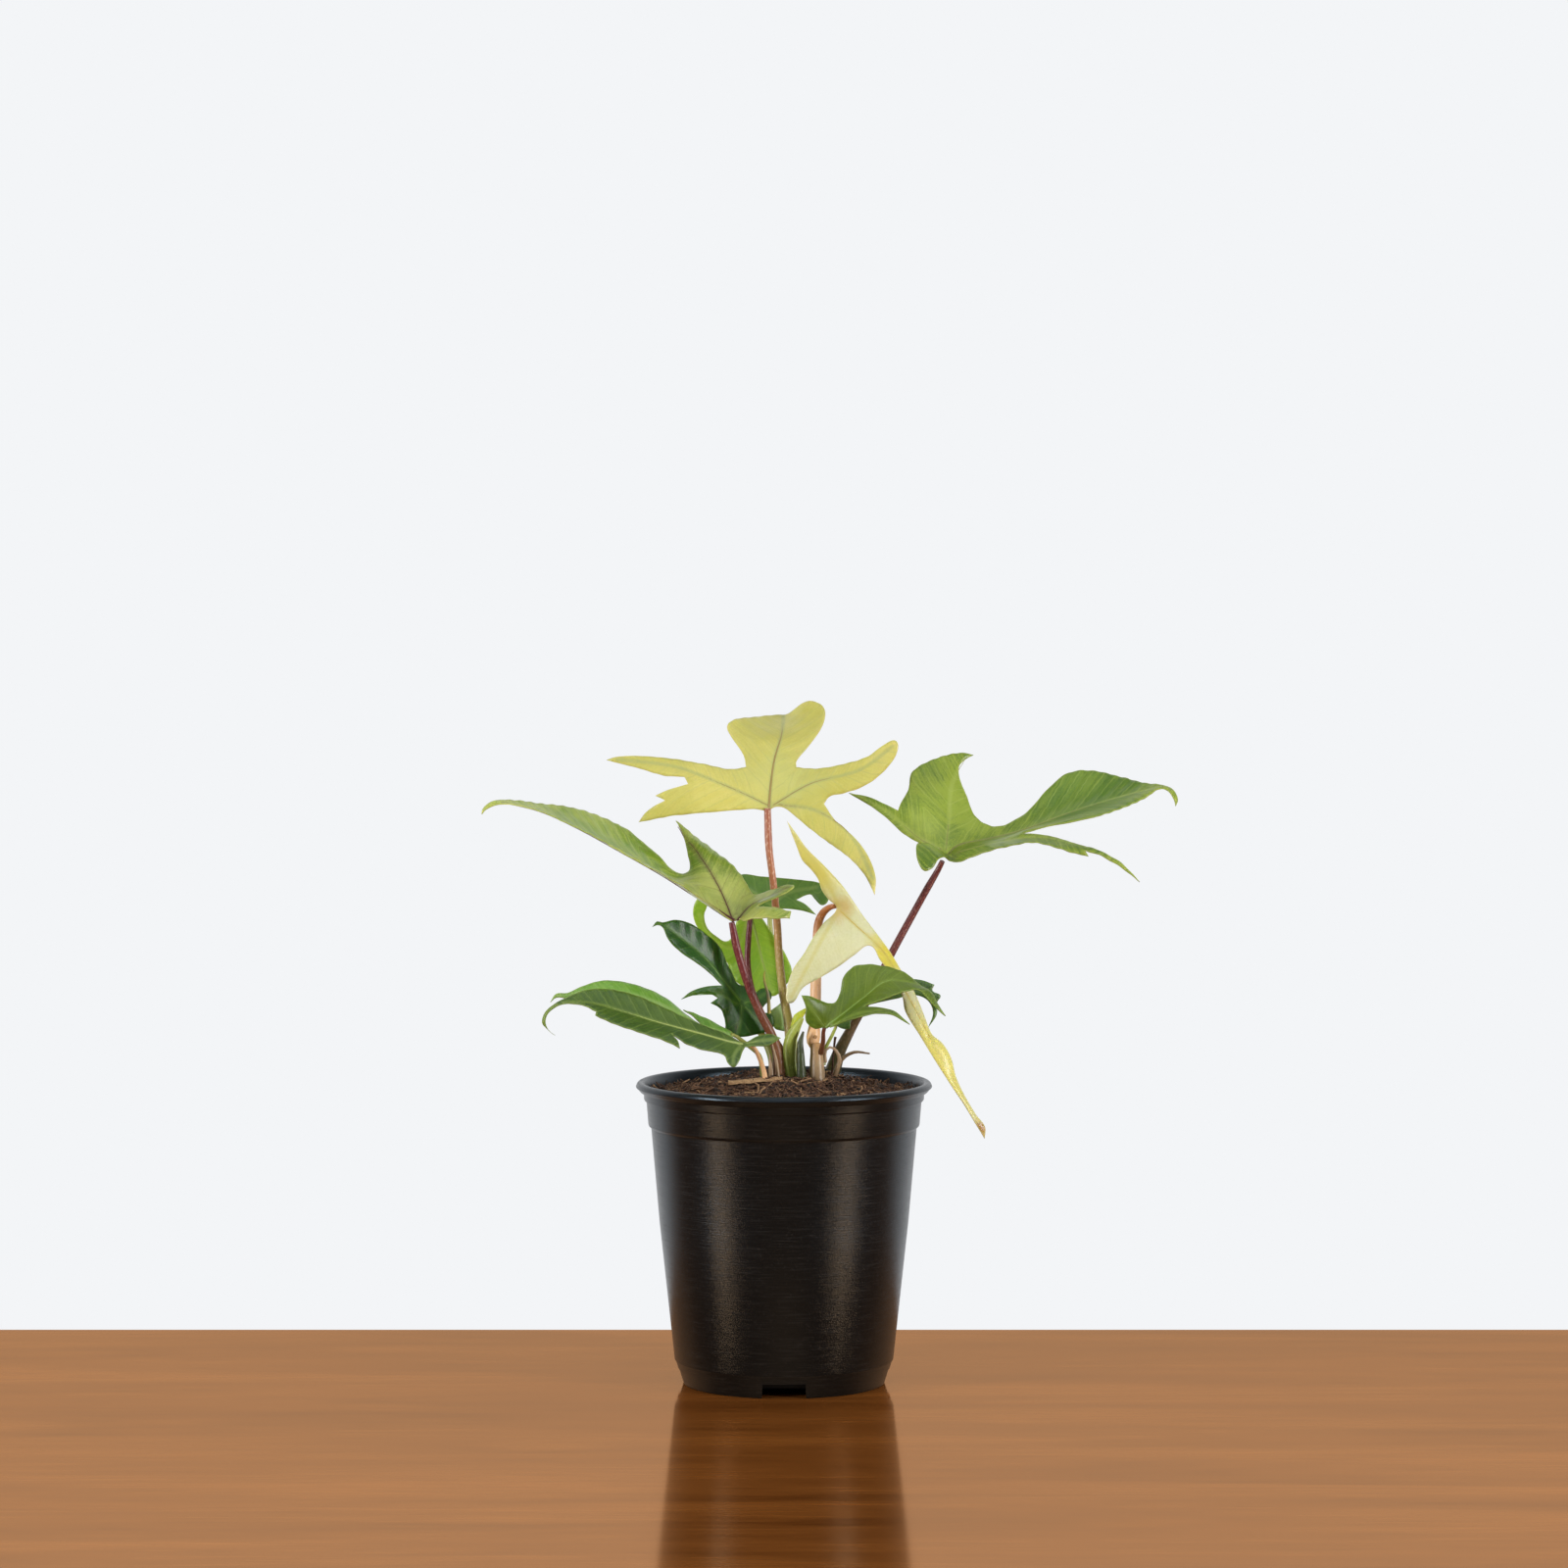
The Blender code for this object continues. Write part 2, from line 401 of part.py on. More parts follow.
def dark_left_leaf():
    """The dark glossy leaf left of the middle, with its curled right-hand lobes."""
    tube("dark_left_stalk", (0.10, 0.12, 0.05),
         [(-14.4, 139.6, 3.4), (-11, 134, 3.6), (-7, 127, 2.6), (-4.4, 123, 1.6)], [1.2, 1.4])
    blade("dark_left_blade", (0.025, 0.075, 0.02), [
        (-13.6, 147.1, -1.4), (-17, 147.9, -1.6), (-19, 151.6, -2), (-21.2, 156, -3), (-23.6, 161.6, -5),
        (-28, 166, -7), (-34, 170.2, -9), (-40, 171.9, -11), (-45.2, 170.9, -13), (-47, 171.3, -13.6),
        (-48.8, 169.2, -14, TIP), (-46.8, 170, -14), (-44.8, 169.2, -14), (-42.6, 164.4, -14.6), (-38, 159.8, -14),
        (-31, 155, -12), (-26, 151, -10), (-22.6, 147.6, -8, TIP), (-29, 147.1, -10), (-34.4, 145.3, -12),
        (-38.2, 142.3, -14, TIP), (-32, 144.2, -12), (-26.6, 144.2, -10), (-24.4, 142.9, -8.6, TIP),
        (-27.2, 141, -9.6, TIP), (-23.4, 138.6, -8), (-21.8, 133.6, -7), (-21.4, 129.6, -6.6), (-16, 128.4, -5),
        (-10, 129.4, -3), (-6, 130.6, -1.6), (-3.6, 133, -0.6), (-4.2, 136.4, -0.6), (-6.6, 137.4, -1),
        (-9, 137, -2, TIP), (-7, 140.4, -1.6), (-4.6, 143, -0.6), (-5.6, 146, 0), (-8.6, 146.4, 0),
        (-11, 144.9, -1.4)],
        [[(-16, 141.8, -4), (-22, 148.6, -5.4), (-30, 158.4, -8.6), (-44, 170, -13)],
         [(-17.4, 140.6, -4.4), (-24, 144, -7.6), (-36, 143.8, -13)],
         [(-15.6, 140.4, -4), (-16, 134.6, -5), (-17, 129.6, -5.4)],
         [(-14.6, 141, -3.6), (-10, 142.6, -2.4), (-6, 145, -0.4)],
         [(-14.4, 139.6, -3.8), (-9, 134.4, -2.6), (-4.4, 134.4, -0.8)]])


def low_left_leaves():
    """The low left leaf with its folded hub, and the lighter leaf that it half covers."""
    tube("low_left_stalk", (0.34, 0.14, 0.09),
         [(-10.6, 123.4, -20), (-9.2, 120.6, -17.5), (-7.6, 117.4, -14.8), (-6.6, 113.2, -14)], [0.8, 0.95], step=2.0)
    blade("low_left_blade", (0.07, 0.16, 0.03), [
        (-14.8, 126.2, -25), (-19, 127.9, -25), (-23.4, 130.2, -25), (-30, 132.7, -25), (-38, 136.3, -25),
        (-46, 140, -25), (-56, 144.2, -25), (-66, 146.2, -25.6), (-74, 145.6, -26.6), (-80, 143.2, -28),
        (-85.6, 140.2, -29.4), (-89, 136.6, -30.6), (-89.3, 133, -31), (-84.6, 128.8, -31, TIP), (-88, 132.8, -32),
        (-88, 136.4, -31.6), (-84.6, 139.8, -31), (-80, 141, -31), (-75, 140.6, -32.6), (-69.6, 137.9, -34, TIP),
        (-70, 136.3, -34.4, TIP), (-62, 132.9, -35.4), (-52, 129.5, -36.4), (-45, 127.2, -36.6),
        (-38.6, 124.1, -37, TIP), (-39.4, 126.8, -35.6), (-41.6, 129.6, -34, TIP), (-37, 126, -34.4, TIP),
        (-30, 123.4, -34.4), (-22.2, 121.8, -33), (-21, 119, -33.4), (-18.6, 117.2, -34), (-16.6, 119.6, -33),
        (-15.4, 123, -30), (-14.4, 124.8, -27.4, TIP), (-10.4, 125, -26.6), (-6, 125, -26.4), (-1.2, 128, -26, TIP),
        (-5, 129.4, -24.6), (-10, 128.6, -24)],
        [[(-15.4, 125.8, -26), (-22, 127.2, -28.4), (-32, 130, -29), (-45, 133.4, -29.4), (-58, 137.4, -29.4),
          (-70, 140.6, -29.6), (-82, 141.4, -30)],
         [(-16, 125, -27), (-18.6, 121.4, -31), (-18.8, 118.4, -33.4)],
         [(-14.2, 126, -25.6), (-9, 127, -25.4), (-3, 127.6, -26)]])
    tube("low_left_rear_stalk", (0.20, 0.14, 0.06),
         [(-17.4, 128.2, -12), (-13, 125, -11.4), (-9.2, 121.4, -10), (-8, 115.4, -8.4)], [0.8, 0.95], step=2.6)
    blade("low_left_rear_blade", (0.13, 0.26, 0.04), [
        (-18.6, 129, -13), (-23.6, 132.2, -11), (-29, 135.4, -10), (-33.6, 137.5, -9.4), (-37.4, 138.3, -9, TIP),
        (-34, 136.4, -10.4), (-30.4, 131.9, -12.6, TIP), (-33.5, 134.2, -13), (-36.4, 136.6, -13),
        (-39.6, 139.6, -13), (-44, 142.9, -13),
        (-50, 145.9, -13), (-58, 148.4, -13.4), (-67, 149.3, -14.4), (-75, 147, -16), (-80.4, 144.6, -17.6),
        (-84.4, 144.4, -18.6), (-86.6, 141.2, -19.4, TIP), (-84.2, 143.2, -19.6), (-80, 142.6, -19.6),
        (-70, 141, -19.4), (-60, 137.8, -19), (-50, 134.8, -18), (-40, 131.8, -17), (-30, 129.4, -15.6),
        (-23, 127.9, -14.6)],
        [[(-20, 129.2, -14), (-30, 133, -16), (-42, 139, -17), (-56, 144, -17), (-70, 145.4, -17.4),
          (-84, 143.8, -19)]])


def front_right_leaves():
    """The green leaf at the front right and the darker one behind it."""
    tube("front_right_stalk", (0.20, 0.04, 0.05),
         [(14.6, 130.2, -26), (14.5, 126.8, -20), (13.8, 124.4, -13.4)], [0.85, 1.0], step=2.0)
    blade("front_right_blade", (0.12, 0.24, 0.03), [
        (15.2, 131.4, -27), (11.6, 131.2, -27.6), (8.4, 133.6, -28.6), (7.8, 136.6, -29), (8.2, 139, -29),
        (6.4, 144.1, -30, TIP), (11, 143.1, -28), (15, 141.2, -26), (18.6, 140.9, -25), (20.8, 144.8, -24),
        (22, 150.6, -23), (26, 154.6, -22), (32, 155.4, -22), (39, 154.4, -23), (45.4, 151.8, -24.6),
        (50.8, 147.2, -27), (54.6, 145, -29), (57, 140.4, -31), (59.8, 136.2, -33, TIP), (56.2, 139.4, -33),
        (52.4, 143.6, -32), (49.6, 146, -31.6), (44, 145.2, -34), (37, 142.6, -36), (29.4, 139.8, -36, TIP),
        (36, 139.2, -40), (41.4, 137.4, -43), (46.6, 133, -46, TIP), (41, 136.2, -45), (34, 137.2, -43),
        (28, 135.6, -39), (21.6, 133.7, -33)],
        [[(15.6, 132, -27.6), (22, 137, -28.4), (30, 143.4, -28.4), (38, 149.2, -27.6), (49, 148.2, -28)],
         [(15, 132.6, -27.6), (11, 138, -28.8), (7.4, 142.8, -29.6)],
         [(17, 132.6, -29), (26, 136.8, -36), (36, 138.2, -41.4)]])
    tube("rear_right_stalk", (0.42, 0.40, 0.10),
         [(19.3, 131.8, -4), (17.6, 128.6, -4), (15.8, 125, -4.2)], [0.65, 0.75], step=2.0)
    blade("rear_right_blade", (0.05, 0.12, 0.03), [
        (19.4, 133.3, -5), (22, 131.4, -6), (24.4, 131.5, -6.6, TIP), (25, 135, -8), (30, 139.6, -9.6),
        (36, 141.4, -11), (42, 142.7, -12), (48, 144, -12.6), (53.4, 141.8, -13), (55.2, 137, -13.4),
        (53.4, 131.8, -14, TIP), (56.6, 136.6, -13.4), (56.6, 141.2, -13), (58, 143.8, -12.6), (55, 145.6, -12.4),
        (55.8, 147.8, -12, TIP), (50.6, 149.6, -11), (43, 150, -9.4), (34, 148.6, -8), (26.6, 144.4, -6.6),
        (21.4, 138.4, -5.4)],
        [[(20, 134.6, -6), (28, 141.6, -8.4), (38, 146, -10), (50, 147, -11.6)]])


# ---------------------------------------------------------------- crowns and small pieces

# name, colour, x and depth of the axis, radius in the mix, radius at the top, height of the top
CROWNS = [
    ("left_crown_stem", (0.20, 0.19, 0.06), 0.0, -1.0, 6.5, 5.4, 121.2),
    ("right_crown_stem", (0.42, 0.27, 0.13), 12.4, -8.0, 4.4, 3.4, 124.2),
    ("rear_crown_stem", (0.16, 0.12, 0.06), 17.4, 3.6, 2.6, 2.3, 118.0),
]
CROWN_DEPTH = 100.0
CHIP_TURN = Matrix.Rotation(math.radians(-5.0), 3, "Y")


def crowns(mix):
    """Short stems that the stalks grow from, each in its own socket in the mix."""
    for name, colour, x, y, root_radius, top_radius, top in CROWNS:
        tube(name, colour, [(x, CROWN_DEPTH, y), (x, top, y)], [root_radius, top_radius])
        foot = place(x, CROWN_DEPTH, y)
        bm = bmesh.new()
        depth = 40.0
        bmesh.ops.create_cone(bm, cap_ends=True, segments=24, radius1=(root_radius + 0.4) * MM,
                              radius2=(root_radius + 0.4) * MM, depth=depth * MM)
        bmesh.ops.translate(bm, verts=bm.verts, vec=Vector((foot.x, foot.y, foot.z - GAP + depth / 2)) * MM)
        cutter = add_object(name + "_socket", mesh_from(bm, name), (0.5, 0.5, 0.5), home=CUTTERS)
        hide_cutter(cutter)
        cut_with(mix, cutter)


def new_growth():
    """A furled leaf pushing out of its sheath, and the bud sheaths left by older leaves."""
    tube("new_leaf_sheath", (0.34, 0.42, 0.10),
         [(2.0, 123.2, -6), (2.6, 127.6, -6.5), (4.4, 131.4, -7.5), (6.6, 135.2, -9)], [2.2, 2.4, 1.9, 0.9], step=3.0)
    tube("furled_leaf", (0.48, 0.56, 0.05),
         [(3.4, 132.8, -3.2), (5.4, 135.8, -3.8), (8.2, 138.6, -4.8)], [1.0, 1.6, 0.7], step=2.0)
    tube("yellow_bud_sheath", (0.60, 0.52, 0.10),
         [(-5.5, 137.4, -4.6), (-5.9, 144, -4.8), (-7.2, 149, -5), (-7.5, 152.4, -5)], [0.7, 0.6, 0.45], step=3.0)
    blade("pale_bud_sheath", (0.36, 0.48, 0.24), [
        (-5.2, 138, 8, TIP), (-2.6, 139.8, 8), (0.2, 141.6, 8), (2, 138, 8.6), (2.8, 134, 9),
        (1.4, 130.4, 8.4, TIP), (-1.2, 130.8, 7.4), (-3.6, 131.8, 7)],
        [[(-2, 137, 6.6), (0, 133, 6.8)]])
    tube("dark_sheath", (0.07, 0.10, 0.03),
         [(6.2, 115.2, -10), (6.2, 121, -10.6), (6.0, 126, -10), (7.0, 130, -10)], [1.7, 1.5, 0.7], step=3.0)
    tube("peeling_sheath", (0.50, 0.38, 0.24),
         [(-2.1, 114.8, -11), (-2.9, 119.6, -11.2), (-4.1, 125.2, -11.6)], [0.7, 0.6, 0.4], step=3.0)
    tube("old_sheath", (0.40, 0.38, 0.20),
         [(-4.6, 115.2, -10), (-4.9, 118.4, -10.2), (-5.2, 121.6, -10.4)], [1.1, 1.0, 0.4], step=3.0)


def leaf_scar_bud():
    """The swollen node under the cream leaf's stalk."""
    bm = bmesh.new()
    bmesh.ops.create_uvsphere(bm, u_segments=12, v_segments=8, radius=1.0)
    bmesh.ops.scale(bm, vec=Vector((2.7, 2.5, 2.8)) * MM, verts=bm.verts)
    bmesh.ops.translate(bm, vec=place(10.9, 128.0, -5.0) * MM, verts=bm.verts)
    add_object("leaf_scar_bud", mesh_from(bm, "leaf_scar_bud"), (0.55, 0.26, 0.10))


def litter():
    """A dry leaf stub, a dark twig and a long bark chip on the mix."""
    tube("dry_leaf_stub", (0.26, 0.16, 0.06),
         [(19.6, 117, -1.6), (21.6, 120.2, -2), (26, 122.7, -3), (31.6, 122.3, -4.5)], [0.9, 0.8, 0.6, 0.5], step=4.0)
    tube("dark_twig", (0.03, 0.02, 0.02), [(17.9, 115.4, -4), (18.3, 122, -3.4), (18.9, 128.2, -3)], [0.35, 0.45])
    bm = bmesh.new()
    bmesh.ops.create_cube(bm, size=1.0)
    bmesh.ops.scale(bm, vec=Vector((20.0, 4.0, 1.4)) * MM, verts=bm.verts)
    narrow = [vert for vert in bm.verts if vert.co.x > 0.0]
    bmesh.ops.scale(bm, vec=(1.0, 0.5, 0.7), verts=narrow)
    bmesh.ops.rotate(bm, cent=(0, 0, 0), matrix=CHIP_TURN, verts=bm.verts)
    bmesh.ops.translate(bm, vec=Vector((-10.5, -16.5, 114.2)) * MM, verts=bm.verts)
    add_object("bark_chip", mesh_from(bm, "bark_chip"), (0.36, 0.21, 0.10), roughness=0.9)


nursery_pot()
root_ball = potting_mix()
crowns(root_ball)
top_leaf()
left_leaf()
right_leaf()
cream_leaf()
back_leaves()
dark_left_leaf()
low_left_leaves()
front_right_leaves()
new_growth()
leaf_scar_bud()
litter()
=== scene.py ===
import math
import random

import bmesh
import bpy
import numpy as np
from mathutils import Euler, Matrix, Vector, noise
from mathutils.geometry import delaunay_2d_cdt


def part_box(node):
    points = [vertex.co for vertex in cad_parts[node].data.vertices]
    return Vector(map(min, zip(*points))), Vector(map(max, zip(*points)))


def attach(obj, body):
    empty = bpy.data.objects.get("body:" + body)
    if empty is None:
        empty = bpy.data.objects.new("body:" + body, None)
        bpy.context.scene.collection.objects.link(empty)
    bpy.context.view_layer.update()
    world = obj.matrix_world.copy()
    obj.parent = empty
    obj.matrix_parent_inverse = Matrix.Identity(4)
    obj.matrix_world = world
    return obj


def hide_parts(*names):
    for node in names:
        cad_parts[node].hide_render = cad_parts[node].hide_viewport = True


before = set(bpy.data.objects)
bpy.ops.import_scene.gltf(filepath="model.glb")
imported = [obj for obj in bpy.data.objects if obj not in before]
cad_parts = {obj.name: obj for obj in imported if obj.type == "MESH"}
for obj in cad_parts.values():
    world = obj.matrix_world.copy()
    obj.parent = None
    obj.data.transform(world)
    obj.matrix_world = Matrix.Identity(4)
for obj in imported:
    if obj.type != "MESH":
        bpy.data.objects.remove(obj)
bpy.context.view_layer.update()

MM = 0.001

# ---------------------------------------------------------------------------
# Studio. A varnished wooden table in front of a white backdrop that gives off light, two
# narrow softboxes at the sides, wide ones overhead and in front, and a long lens.
# ---------------------------------------------------------------------------


def fit_nodes(material_name):
    """A material with an empty node tree but for its Principled shader."""
    made = bpy.data.materials.new(material_name)
    made.use_nodes = True
    return made, made.node_tree, made.node_tree.nodes["Principled BSDF"]


def add_node(tree, kind, values=None, **settings):
    """One node with its settings; each value is a plain value or another node's socket."""
    made = tree.nodes.new(kind)
    for key, value in settings.items():
        setattr(made, key, value)
    for key, value in (values or {}).items():
        socket = made.inputs[key]
        if isinstance(value, bpy.types.NodeSocket):
            tree.links.new(value, socket)
        else:
            socket.default_value = value
    return made


def srgb(red, green, blue):
    """A colour given in 0-255 display values, as the linear values that shaders take."""
    return tuple((part / 255) ** 2.2 for part in (red, green, blue))


def put_object(name, data):
    """A new object in the scene for a mesh, curve, light or camera."""
    made = bpy.data.objects.new(name, data)
    bpy.context.scene.collection.objects.link(made)
    return made


def mesh_object(name, bm, material, smooth=True):
    """A new object made from a bmesh, which is freed, with its one material."""
    data = bpy.data.meshes.new(name)
    bm.to_mesh(data)
    bm.free()
    data.materials.append(material)
    if smooth:
        data.shade_smooth()
    return put_object(name, data)


def declare(piece, slot, *nodes):
    """The piece belongs to the one body and stands for its nodes; the slot is not used."""
    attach(piece, "root")
    if nodes:
        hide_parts(*nodes)


BACKDROP_WHITE = (0.945, 0.96, 0.98, 1.0)
TABLE_BACK_EDGE = 0.1165

backdrop_material, _, shader = fit_nodes("studio_white")
shader.inputs["Base Color"].default_value = (0.0, 0.0, 0.0, 1.0)
shader.inputs["Specular IOR Level"].default_value = 0.0
shader.inputs["Emission Color"].default_value = BACKDROP_WHITE
shader.inputs["Emission Strength"].default_value = 0.95
bm = bmesh.new()
bmesh.ops.create_cube(bm, size=1.0)
bmesh.ops.scale(bm, vec=(9.0, 0.02, 7.0), verts=bm.verts)
bmesh.ops.translate(bm, vec=(0.0, 1.8, 0.6), verts=bm.verts)
mesh_object("studio_backdrop", bm, backdrop_material, smooth=False)

table_material, tree, shader = fit_nodes("varnished_wood")
where = add_node(tree, "ShaderNodeTexCoord").outputs["Object"]
plank = add_node(tree, "ShaderNodeMapping", {"Vector": where, "Scale": (1.0, 9.0, 1.0)})
figure = add_node(tree, "ShaderNodeTexNoise", {"Vector": plank.outputs[0], "Scale": 3.2, "Detail": 8.0,
                                               "Roughness": 0.62, "Distortion": 0.5}).outputs[0]
thread = add_node(tree, "ShaderNodeMapping", {"Vector": where, "Scale": (1.0, 26.0, 1.0)})
pores = add_node(tree, "ShaderNodeTexNoise", {"Vector": thread.outputs[0], "Scale": 30.0,
                                              "Detail": 5.0}).outputs[0]
both = add_node(tree, "ShaderNodeMath", {0: pores, 1: 0.45, 2: figure}, operation="MULTIPLY_ADD")
share = add_node(tree, "ShaderNodeMapRange", {"Value": both.outputs[0], "From Min": 0.52, "From Max": 0.95})
wood = add_node(tree, "ShaderNodeMix", {"Factor": share.outputs[0], "A": (0.105, 0.030, 0.005, 1),
                                        "B": (0.29, 0.095, 0.018, 1)}, data_type="RGBA")
matt = add_node(tree, "ShaderNodeBsdfDiffuse", {"Color": wood.outputs["Result"]})
varnish = add_node(tree, "ShaderNodeBsdfGlossy", {"Color": (0.86, 0.47, 0.24, 1), "Roughness": 0.10})
surface = add_node(tree, "ShaderNodeMixShader", {0: 0.38, 1: matt.outputs[0], 2: varnish.outputs[0]})
tree.links.new(surface.outputs[0], tree.nodes["Material Output"].inputs["Surface"])
bm = bmesh.new()
bmesh.ops.create_cube(bm, size=1.0)
bmesh.ops.scale(bm, vec=(3.6, 1.0, 0.03), verts=bm.verts)
bmesh.ops.translate(bm, vec=(0.0, TABLE_BACK_EDGE - 0.5, -0.015), verts=bm.verts)
mesh_object("wooden_table", bm, table_material, smooth=False)


def softbox(name, place, aim, size, power):
    """A rectangular area light at a place in metres, turned to its aim."""
    data = bpy.data.lights.new(name, "AREA")
    data.shape = "RECTANGLE"
    data.size, data.size_y = size
    data.energy = power
    made = put_object(name, data)
    made.location = place
    made.rotation_euler = (Vector(aim) - Vector(place)).to_track_quat("-Z", "Y").to_euler()


softbox("left_softbox", (-1.02, -0.60, 0.30), (0, 0, 0.08), (0.11, 0.58), 9.5)
softbox("right_softbox", (1.02, -0.66, 0.30), (0, 0, 0.08), (0.10, 0.58), 10.5)
softbox("top_softbox", (0.0, -0.5, 1.5), (0, 0, 0.15), (1.6, 1.2), 6.0)
softbox("front_fill", (0.0, -2.4, 1.7), (0, 0, 0.15), (1.8, 1.0), 9.0)

world = bpy.data.worlds.new("studio_air")
world.use_nodes = True
world.node_tree.nodes["Background"].inputs["Color"].default_value = (0.95, 0.97, 1.0, 1.0)
world.node_tree.nodes["Background"].inputs["Strength"].default_value = 0.24
bpy.context.scene.world = world
bpy.context.scene.view_settings.view_transform = "Standard"

EYE = Vector((0.0, -1.6895, 0.2972))
LENS_PITCH = math.radians(2.54)
camera_data = bpy.data.cameras.new("camera")
camera_data.lens = 105.0
camera_data.sensor_width = 36.0
camera = put_object("camera", camera_data)
camera.location = EYE
camera.rotation_euler = (math.pi / 2 - LENS_PITCH, 0.0, 0.0)
bpy.context.scene.camera = camera

# ---------------------------------------------------------------------------
# Nursery pot. One thin moulding in black plastic, with a rolled lip, a stepped
# collar for stacking, a tapered wall and a foot cut by four drain slots.
# ---------------------------------------------------------------------------

_, pot_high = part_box("nursery_pot")
POT_HEIGHT = pot_high[2] / MM
LIP_RADIUS = pot_high[0] / MM
COLLAR_RADIUS = LIP_RADIUS - 4.0
COLLAR_HEIGHT = 95.0
BODY_TOP_RADIUS = 49.2
BODY_FOOT_RADIUS = 40.6
FOOT_RADIUS = 37.8
FOOT_HEIGHT = 8.3
POT_WALL = 1.3
POT_TURNS = 144


def scuffs(tree, scale, ring_scale):
    """Masks for fine rub marks that run round the pot, and for specks of dust."""
    where = add_node(tree, "ShaderNodeTexCoord").outputs["Object"]
    apart = add_node(tree, "ShaderNodeSeparateXYZ", {"Vector": where})
    round_angle = add_node(tree, "ShaderNodeMath", {0: apart.outputs["Y"], 1: apart.outputs["X"]},
                           operation="ARCTAN2")
    ring = add_node(tree, "ShaderNodeCombineXYZ", {"X": round_angle.outputs[0]})
    high = add_node(tree, "ShaderNodeMath", {0: apart.outputs["Z"], 1: ring_scale}, operation="MULTIPLY")
    tree.links.new(high.outputs[0], ring.inputs["Y"])
    rubs = add_node(tree, "ShaderNodeTexNoise", {"Vector": ring.outputs[0], "Scale": scale, "Detail": 6.0,
                                                 "Roughness": 0.65})
    specks = add_node(tree, "ShaderNodeTexNoise", {"Vector": where, "Scale": 900.0, "Detail": 3.0})
    return rubs.outputs[0], specks.outputs[0]


pot_material, tree, shader = fit_nodes("black_nursery_plastic")
rubs, specks = scuffs(tree, 3.0, 900.0)
worn = add_node(tree, "ShaderNodeMapRange", {"Value": rubs, "From Min": 0.52, "From Max": 0.78})
dusty = add_node(tree, "ShaderNodeMapRange", {"Value": specks, "From Min": 0.60, "From Max": 0.80,
                                              "To Max": 0.5})
marks = add_node(tree, "ShaderNodeMath", {0: worn.outputs[0], 1: dusty.outputs[0]}, operation="ADD",
                 use_clamp=True)
tone = add_node(tree, "ShaderNodeValToRGB", {"Fac": marks.outputs[0]})
tone.color_ramp.elements[0].color = (0.0030, 0.0030, 0.0032, 1)
tone.color_ramp.elements[1].color = (0.022, 0.020, 0.018, 1)
tree.links.new(tone.outputs[0], shader.inputs["Base Color"])
gloss = add_node(tree, "ShaderNodeMapRange", {"Value": marks.outputs[0], "To Min": 0.28, "To Max": 0.48})
tree.links.new(gloss.outputs[0], shader.inputs["Roughness"])
grain = add_node(tree, "ShaderNodeBump", {"Height": rubs, "Strength": 0.22, "Distance": 0.0004})
tree.links.new(grain.outputs[0], shader.inputs["Normal"])
shader.inputs["Specular IOR Level"].default_value = 0.40
shader.inputs["Specular Tint"].default_value = (0.62, 0.82, 1.0, 1.0)


def arc(middle_r, middle_z, radius, start, end, steps):
    """Points round a part of a circle, angles in degrees from the outward direction."""
    spots = []
    for step in range(steps + 1):
        angle = math.radians(start + (end - start) * step / steps)
        spots.append((middle_r + radius * math.cos(angle), middle_z + radius * math.sin(angle)))
    return spots


def spin_profile(profile, turns):
    """A closed solid of revolution from a profile with both ends on the axis."""
    bm = bmesh.new()
    spots = [bm.verts.new((r * MM, 0.0, z * MM)) for r, z in profile]
    rim = [bm.edges.new(pair) for pair in zip(spots, spots[1:])]
    bmesh.ops.spin(bm, geom=spots + rim, cent=(0, 0, 0), axis=(0, 0, 1), angle=math.tau, steps=turns,
                   use_merge=True)
    bmesh.ops.remove_doubles(bm, verts=bm.verts, dist=0.000005)
    bmesh.ops.recalc_face_normals(bm, faces=bm.faces)
    return bm


inner_collar = COLLAR_RADIUS + 0.9 - POT_WALL
pot_profile = [(0, 2.0), (22.8, 2.0), (25.5, 4.4), (33, 4.4),
               (BODY_FOOT_RADIUS - POT_WALL, FOOT_HEIGHT + 0.8),
               (45.0, 60.0), (BODY_TOP_RADIUS - POT_WALL, COLLAR_HEIGHT),
               (COLLAR_RADIUS - POT_WALL, COLLAR_HEIGHT + 2),
               (inner_collar, 105.6), (inner_collar + 0.4, 109.4)]
pot_profile += arc(LIP_RADIUS - 1.9, POT_HEIGHT - 1.7, 1.7, 165, 0, 9)[1:]
pot_profile += arc(LIP_RADIUS - 0.7, POT_HEIGHT - 1.7, 0.6, 0, -90, 3)
pot_profile += [(LIP_RADIUS - 1.2, 109.0), (LIP_RADIUS - 1.7, 108.4), (52.2, 108.2)]
pot_profile += [(52.0, 107.8), (51.9, 105.6), (51.7, 105.2), (COLLAR_RADIUS + 0.1, 105.0),
                (COLLAR_RADIUS, 104.7)]
pot_profile += [(50.3, COLLAR_HEIGHT + 1.2), (50.1, COLLAR_HEIGHT + 0.7),
                (BODY_TOP_RADIUS + 0.1, COLLAR_HEIGHT),
                (BODY_TOP_RADIUS, COLLAR_HEIGHT - 0.5), (46.2, 60.0),
                (BODY_FOOT_RADIUS + 0.05, FOOT_HEIGHT + 0.5),
                (BODY_FOOT_RADIUS - 0.15, FOOT_HEIGHT + 0.1), (FOOT_RADIUS + 2.3, FOOT_HEIGHT - 0.4)]
pot_profile += [(FOOT_RADIUS + 0.1, 0.5), (FOOT_RADIUS - 0.3, 0.0), (FOOT_RADIUS - 4.8, 0),
                (FOOT_RADIUS - 6, 2.4), (25.6, 2.4), (24, 0), (0, 0)]
bm = spin_profile(pot_profile, POT_TURNS)
pot = mesh_object("nursery_pot_shell", bm, pot_material)
cutter_bm = bmesh.new()
